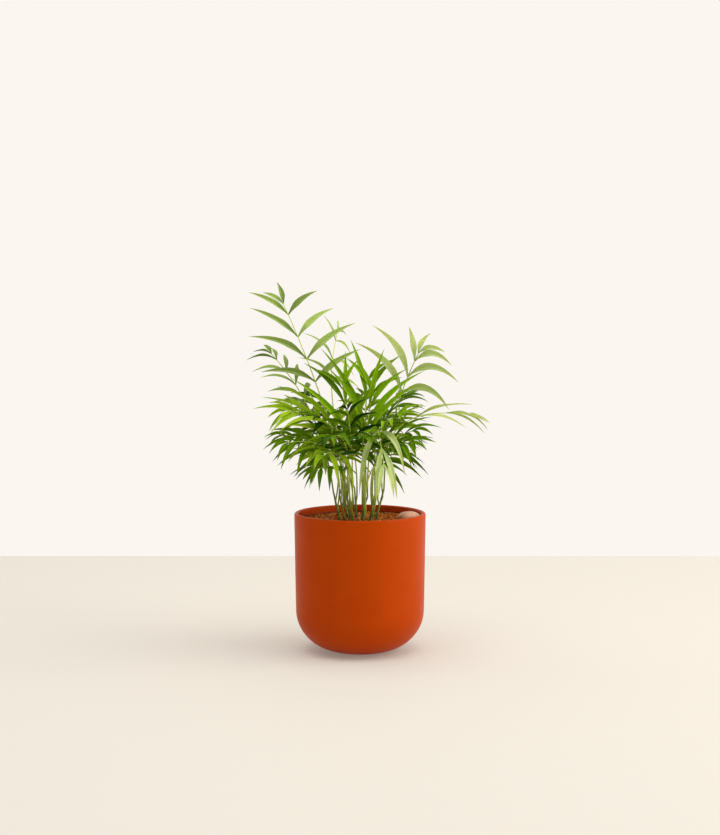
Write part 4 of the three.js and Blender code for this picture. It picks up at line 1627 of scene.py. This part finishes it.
@dataclass(frozen=True)
class Blades:
    """Turns leaflets into folded blades.

    Attributes:
        stations: Cross-sections along a blade before its tip.
        section: A cross-section's points over the blade, by their share of the half width.
        fold: How far the edges stand above the midrib, over the half width.
        bulge: How far each half swells between midrib and edge, over the half width.
        thick: Thickness at the midrib.
        full_at: Share of the length where a blade is widest.
        root_width: Width at the root over the widest width.
        taper: Powers of the taper: how late it sets in, and how drawn-out the tip is.
        wave: Height of the waves along the edges, over the half width.
        waves: Their number along the blade.
        seat: How deep the midrib lies below the curve, over the edges' height.
        thinning: How much thinner the midrib is at the tip, over its thickness.
    """

    stations: int = 11
    section: tuple[float, ...] = (-1, -0.5, 0, 0.5, 1)
    fold: float = 0.55
    bulge: float = 0.10
    thick: float = 0.45
    full_at: float = 0.42
    root_width: float = 0.2
    taper: tuple[float, float] = (2.4, 1.15)
    wave: float = 0.10
    waves: float = 2.0
    seat: float = 0.3
    thinning: float = 0.6

    def outline(self, s: Vec) -> Vec:
        """Half width over the widest at shares s of the length: a smooth rise, times a taper.

        The taper is (1 - s^a)^b, with a and b as the taper's powers.
        """
        late, drawn_out = self.taper
        return lerp(self.root_width, 1, smoothstep(s / self.full_at)) * (1 - s**late) ** drawn_out

    def surface(self, leaflets: list[Leaflet]) -> Surface:
        """All the blades as one surface.

        A section has points over the blade and one under its midrib. A point's offset across is
        u times the half width. Its height over the half width is fold (|u| - seat), plus
        bulge 4|u|(1-|u|), plus a wave that runs along the edges. The section turns with the curve
        and twists evenly to the tip.

        Args:
            leaflets: The leaflets.

        Returns:
            The joined surface.
        """
        s = np.linspace(0, 1, self.stations + 1)

        def stack(read: Callable[[Leaflet], Any]) -> Vec:
            """What is read from each leaflet, one row to a leaflet, to fit arrays by station."""
            values = np.array([read(leaf) for leaf in leaflets], float)
            return values.reshape(len(leaflets), 1, -1)

        arc = Arc(stack(lambda leaf: leaf.arc.start), stack(lambda leaf: leaf.arc.middle),
                  stack(lambda leaf: leaf.arc.end))
        centre, ahead = arc.point(s[None, :]), arc.direction(s[None, :])
        axis, width = stack(lambda leaf: leaf.bend_axis), stack(lambda leaf: leaf.width)
        side, phase = stack(lambda leaf: leaf.side), stack(lambda leaf: leaf.phase)
        edgeways = np.cross(axis, stack(lambda leaf: leaf.first))
        flat = np.sum(width * axis, axis=-1, keepdims=True)
        steep = np.sum(width * edgeways, axis=-1, keepdims=True)
        across = axis * flat + np.cross(axis, ahead) * steep
        upper = np.cross(across, ahead) * side
        twist = stack(lambda leaf: leaf.twist) * s[None, :, None]
        across, upper = (across * np.cos(twist) + upper * np.sin(twist),
                         upper * np.cos(twist) - across * np.sin(twist))
        half = stack(lambda leaf: leaf.half_width) * self.outline(s)[None, :, None]
        u = np.array(self.section, float)[None, None, :]
        off = np.abs(u)
        wave = self.wave * off * np.sin(s[None, :, None] * self.waves * 2 * np.pi + phase + u)
        height = (self.fold * (off - self.seat) + self.bulge * 4 * off * (1 - off) + wave) * half
        top = centre[:, :, None] + across[:, :, None] * (u * half)[..., None]
        top = top + upper[:, :, None] * height[..., None]
        sunk = height[:, :, len(self.section) // 2] - self.thick * (1 - self.thinning * s[None, :])
        under = centre + upper * sunk[..., None]
        ring = np.concatenate([top, under[:, :, None]], axis=2)
        sides = ring.shape[2]
        body = ring[:, :-1].reshape(len(leaflets), -1, 3)
        points = np.concatenate([body, arc.point(np.ones((1, 1)))], axis=1)
        return self.assembled(points, s, sides, leaflets)

    def assembled(self, points: Vec, s: Vec, sides: int, leaflets: list[Leaflet]) -> Surface:
        """Gives the points of each blade their faces, places and tones.

        Args:
            points: Rows of each blade's points, its tip last.
            s: Shares of the length with a section.
            sides: Points of a section.
            leaflets: The leaflets.

        Returns:
            The joined surface.
        """
        each = points.shape[1]
        shift = (np.arange(len(leaflets)) * each)[:, None, None]
        left = np.array([leaf.side > 0 for leaf in leaflets])
        faces = []
        for group in tube_faces(len(s) - 1, sides, tip=True):
            for chosen, order in ((left, 1), (~left, -1)):
                moved = group[None, :, ::order] + shift[chosen]
                faces.append(moved.reshape(-1, group.shape[1]))
        across = np.tile([*((u + 1) / 2 for u in self.section), 0.5], len(s) - 1)
        along = np.repeat(s[:-1], sides)
        place = np.stack([np.append(across, 0.5), np.append(along, 1.0)], axis=1)
        tone = np.repeat([leaf.tone for leaf in leaflets], each)
        return Surface(points.reshape(-1, 3), faces, np.tile(place, (len(leaflets), 1)), tone)


@dataclass(frozen=True)
class Stalks:
    """Turns seedlings' stems and fronds' ribs into tubes with relief.

    Attributes:
        sides: Points round a rib, and round a stem.
        slim: A stem's thickness over the frame's.
        stations: Sections along a rib past its sheath, and along a stem.
        sheath: Length of stem that a rib's base wraps.
        sheath_steps: Sections along that.
        narrowing: How much faster than its length it narrows to the rib.
        hug: How far the sheath stands off the stem.
        tuck: How far its lower end is tucked in.
        channel: Depth of the groove along a rib's upper face, over its radius.
        channel_from: Share of the rib over which that groove deepens.
        channel_angle: Half the groove's width, in radians round the rib.
        sunk: How deep a stem stands in the soil.
        ring_step: Distance between the scars of old leaves.
        scar: Half a scar's width, and its height over the stem's radius.
        flutes: Flutes round a stem, and their height over its radius.
        crown: A stem's last ring over its radius.
        rib_tones: Of a sheath's lower end, of the rib's foot, and of the rest of the rib.
        stem_tone: Of a stem's top.
        tone_rises: How much faster than their length a rib and a stem reach their last tone.
        tone_ranges: How far a frond's draw moves its rib's tone, and a stem's draw its own.
    """

    sides: tuple[int, int] = (10, 16)
    slim: float = 0.72
    stations: tuple[int, int] = (25, 60)
    sheath: float = 13.0
    sheath_steps: int = 8
    narrowing: float = 1.05
    hug: float = 0.15
    tuck: float = 0.9
    channel: float = 0.3
    channel_from: float = 1 / 6
    channel_angle: float = 0.5
    sunk: float = 1.8
    ring_step: float = 6.5
    scar: tuple[float, float] = (0.55, 0.05)
    flutes: tuple[int, float] = (5, 0.03)
    crown: float = 0.6
    rib_tones: tuple[float, float, float] = (0.3, 0.55, 0.9)
    stem_tone: float = 0.6
    tone_rises: tuple[float, float] = (3.0, 1.2)
    tone_ranges: tuple[float, float] = (0.35, 0.3)

    def tube(self, centre: Vec, look: Vec, radius: Vec, groove: Vec, tone: Vec, sides: int) -> Surface:
        """A closed tube along a path.

        The point at turn a of a section stands radius times (1 - groove g) from the middle, where
        g is a bell round the upper face's direction.

        Args:
            centre: The path's points.
            look: The direction that the upper face looks to.
            radius: The radius at each point, or for each point and side.
            groove: The depth of the groove at each point.
            tone: The tone at each point.
            sides: Points round the section.

        Returns:
            The surface.
        """
        ahead = unit(np.gradient(centre, axis=0))
        upper = square_to(look, ahead)
        left = np.cross(upper, ahead)
        turn = np.arange(sides) / sides * 2 * np.pi
        bell = np.exp(-(((turn - np.pi / 2) / self.channel_angle) ** 2))
        reach = np.broadcast_to(radius, (len(centre), sides)) * (1 - groove[:, None] * bell)
        points = (centre[:, None] + left[:, None] * (np.cos(turn) * reach)[..., None]
                  + upper[:, None] * (np.sin(turn) * reach)[..., None])
        along = np.linspace(0, 1, len(centre))[:, None]
        place = np.stack(np.broadcast_arrays(turn / (2 * np.pi), along), axis=-1)
        faces = [group[:, ::-1] for group in tube_faces(len(centre), sides, tip=False)]
        return Surface(points.reshape(-1, 3), faces, place.reshape(-1, 2), np.repeat(tone, sides))

    def rib(self, rib: Rib) -> Surface:
        """A rib with its sheath: a sleeve round the stem that slides out into the rib's foot.

        The sheath's middle line is the stem's, moved towards the rib's foot by the square of a
        smooth rise. Its radius goes smoothly from the stem's to the rib's.

        Args:
            rib: The rib.

        Returns:
            The closed surface.
        """
        seedling = rib.seedling
        rise = seedling.height * rib.frond.leaves
        low = max(rise - self.sheath, 1.0)
        share = np.arange(self.sheath_steps) / self.sheath_steps
        height = lerp(low, rise, share)
        on_stem = seedling.point(height)
        sleeve = on_stem + (rib.arc.start - on_stem[-1]) * smoothstep(share)[:, None] ** 2
        hug = seedling.thickness(height) * self.slim + self.hug
        sleeve_radius = lerp(hug, rib.foot_radius, smoothstep(share * self.narrowing))
        sleeve_radius[0] -= self.tuck
        t = np.linspace(0, 1, self.stations[0])
        centre = np.concatenate([sleeve, rib.arc.point(t)])
        radius = np.concatenate([sleeve_radius, rib.thickness(t)])
        groove = np.concatenate([np.zeros(len(share)), self.channel * smoothstep(t / self.channel_from)])
        old, foot, rest = self.rib_tones
        paler = smoothstep(t * self.tone_rises[0])
        tone = np.concatenate([lerp(old, foot, share), lerp(foot, rest, paler)])
        tone += self.tone_ranges[0] * chance(rib.number, 0, 0, PALENESS)
        return self.tube(centre, rib.look, radius[:, None], groove, tone, self.sides[0])

    def stem(self, seedling: Seedling, number: int) -> Surface:
        """A stem with a raised ring at each old leaf's scar, sunk a little into the soil.

        A scar raises the radius by a bell, e^-(d/width)^2 at a distance d along the stem, and the
        flutes by the cosine of the turn round it times their number.

        Args:
            seedling: The seedling.
            number: Its number, which keys its draw.

        Returns:
            The closed surface.
        """
        rise = np.linspace(-self.sunk, seedling.height, self.stations[1])
        (scar_width, scar_height), (flutes, flute_height) = self.scar, self.flutes
        scars = np.exp(-(((rise % self.ring_step) - self.ring_step / 2) / scar_width) ** 2)
        radius = seedling.thickness(rise) * self.slim * (1 + scar_height * scars)
        turn = np.arange(self.sides[1]) / self.sides[1] * 2 * np.pi
        radius = radius[:, None] * (1 + flute_height * np.cos(turn * flutes + seedling.foot[0]))
        radius[-1] *= self.crown
        shade = self.stem_tone + self.tone_ranges[1] * chance(number, 0, 0, PALENESS)
        tone = shade * smoothstep(self.tone_rises[1] * rise / seedling.height)
        return self.tube(seedling.point(rise), compass(0), radius, np.zeros(len(rise)), tone, self.sides[1])


@dataclass(frozen=True)
class Palm:
    """The plant: twelve seedlings in a clump, and what turns their rule into meshes."""

    seedlings: tuple[Seedling, ...] = SEEDLINGS
    blades: Blades = Blades()
    stalks: Stalks = Stalks()

    def ribs(self) -> list[Rib]:
        """A rib for every frond, in the frame's order.

        Returns:
            The ribs.
        """
        return [
            Rib(seedling, frond, 3 * s + f, f"frond_{s + 1:02d}_{'abc'[f]}")
            for s, seedling in enumerate(self.seedlings)
            for f, frond in enumerate(seedling.fronds)
        ]

    def dress(self, effects: Effects) -> None:
        """Makes the leaflets of each tint, the ribs and the stems.

        Args:
            effects: The shared shader groups.
        """
        ribs = self.ribs()
        for tint in Tint:
            leaf = tint.value
            own = [rib for rib in ribs if rib.frond.tint is tint]
            leaflets = [leaflet for rib in own for leaflet in rib.leaflets()]
            surface, names = self.blades.surface(leaflets), [rib.name for rib in own]
            make_piece(leaf.name + "_leaflets", surface, leaf.make(effects), names, crease=20)
            log.info("%s: %d leaflets", leaf.name, len(leaflets))
        log.info("leaflets that no node has: %d", sum(rib.missed for rib in ribs))
        skin = StalkFinish().make(effects)
        surface = Surface.joined([self.stalks.rib(rib) for rib in ribs])
        make_piece("frond_ribs", surface, skin, [rib.name for rib in ribs])
        stems = [self.stalks.stem(seedling, s) for s, seedling in enumerate(self.seedlings)]
        names = [f"stem_{s + 1:02d}" for s in range(len(stems))]
        make_piece("ringed_stems", Surface.joined(stems), skin, names)


# ---------------------------------------------------------------- stage


@dataclass(frozen=True)
class Softbox:
    """A square area light, with places and sizes in metres.

    Attributes:
        name: The light's name.
        at: Where it hangs.
        aim: The point that it looks at.
        size: Of its side.
        power: In watts.
        colour: Of its light.
    """

    name: str
    at: tuple[float, float, float]
    aim: tuple[float, float, float]
    size: float
    power: float
    colour: Colour = (1.0, 1.0, 1.0)

    def hang(self) -> None:
        """Puts the light in the scene."""
        lamp = bpy.data.lights.new(self.name, "AREA")
        lamp.energy, lamp.size, lamp.color = self.power, self.size, self.colour
        light = put_in(self.name, lamp)
        light.location = self.at
        x, y, z = np.array(self.aim) - np.array(self.at)
        light.rotation_euler = (atan2(np.hypot(x, y), -z), 0.0, atan2(y, x) - np.pi / 2)


@dataclass(frozen=True)
class Stage:
    """A pale floor, a cream wall behind it, soft light from all round and a camera in front.

    Sizes and places are metres.

    Attributes:
        floor_colour: Of the floor.
        floor_skin: Its roughness, and the strength of its reflection.
        floor_glow: How far it shines by itself, over its colour.
        floor_reach: From the pot to its sides.
        wall_at: How far the wall stands behind the pot.
        wall_colour: Of the wall, as bright as it shows.
        wall_reach: From the pot to its sides.
        wall_height: Of the wall.
        sky_colour: Of the even light from all round.
        sky_strength: Of that light.
        camera_at: Where the camera stands.
        camera_tilt: How far it looks down, in degrees.
        lens: Its focal length over the height of its picture.
        boxes: The softboxes.
    """

    floor_colour: Colour = (0.512, 0.479, 0.425)
    floor_skin: tuple[float, float] = (0.75, 0.2)
    floor_glow: float = 0.36
    floor_reach: float = 6.0
    wall_at: float = 0.672
    wall_colour: Colour = (0.965, 0.925, 0.87)
    wall_reach: float = 4.0
    wall_height: float = 3.0
    sky_colour: Colour = (0.97, 0.94, 0.90)
    sky_strength: float = 0.44
    camera_at: tuple[float, float, float] = (0.0, -1.7, 0.3802)
    camera_tilt: float = 3.83
    lens: float = 1.7958084
    boxes: tuple[Softbox, ...] = (
        Softbox("window", (2.4, -0.3, 1.35), (0, 0, 0.2), 2.7, 63.0, (1.0, 0.985, 0.96)),
        Softbox("top", (-0.05, -0.45, 2.75), (0, 0, 0.15), 2.7, 57.0),
    )

    def sheet(self, name: str, corners: list[tuple[float, float, float]], finish: Finish) -> None:
        """One flat stage piece from its corners.

        Args:
            name: The piece's name.
            corners: Its corners.
            finish: Its finish.
        """
        mesh = bpy.data.meshes.new(name)
        mesh.from_pydata(corners, [], [(0, 1, 2, 3)])
        mesh.materials.append(finish.material)
        put_in(name, mesh)

    def floor(self) -> None:
        """The floor, plain and pale."""
        finish = Finish("stage_floor", *self.floor_skin)
        finish.set("Base Color", self.floor_colour)
        finish.set("Emission Color", self.floor_colour)
        finish.set("Emission Strength", self.floor_glow)
        far = self.floor_reach
        self.sheet("stage_floor", [(-far, -far, 0), (far, -far, 0), (far, far, 0), (-far, far, 0)], finish)

    def wall(self) -> None:
        """The wall, which shines evenly towards the pot and isn't there seen from behind."""
        finish = Finish("stage_wall", 1.0)
        desk = finish.desk
        glow = desk.put("Emission", {"Color": self.wall_colour, "Strength": 1.0})
        behind = desk.put("NewGeometry").outputs["Backfacing"]
        finish.show(desk.mix(behind, glow, desk.put("BsdfTransparent")))
        y, far, top = self.wall_at, self.wall_reach, self.wall_height
        self.sheet("stage_wall", [(-far, y, 0), (far, y, 0), (far, y, top), (-far, y, top)], finish)

    def sky(self) -> None:
        """Even light from all round."""
        world = bpy.data.worlds.new("studio")
        bpy.context.scene.world = world
        world.use_nodes = True
        desk, shade = Desk(world.node_tree), world.node_tree.nodes["Background"]
        desk.feed(shade.inputs["Color"], self.sky_colour)
        desk.feed(shade.inputs["Strength"], self.sky_strength)

    def camera(self) -> None:
        """The camera, level apart from its tilt."""
        lens = bpy.data.cameras.new("camera")
        lens.lens = self.lens * lens.sensor_width
        camera = put_in("camera", lens)
        camera.location = self.camera_at
        camera.rotation_euler = (radians(90 - self.camera_tilt), 0.0, 0.0)
        bpy.context.scene.camera = camera

    def build(self) -> None:
        """Makes the whole stage."""
        bpy.context.scene.view_settings.view_transform = "Standard"
        self.floor()
        self.wall()
        self.sky()
        self.camera()
        for box in self.boxes:
            box.hang()


# ---------------------------------------------------------------- assembly


def main() -> None:
    """Builds the stage, the pot and the palm in it."""
    logging.basicConfig(level=logging.INFO, format="%(name)s: %(message)s")
    Stage().build()
    effects = Effects(Mottle(), Blade())
    pebble = Pebble()
    Pot().dress(effects, Crumbs(), pebble)
    pebble.dress(effects)
    Palm().dress(effects)


if __name__ == "__main__":
    main()
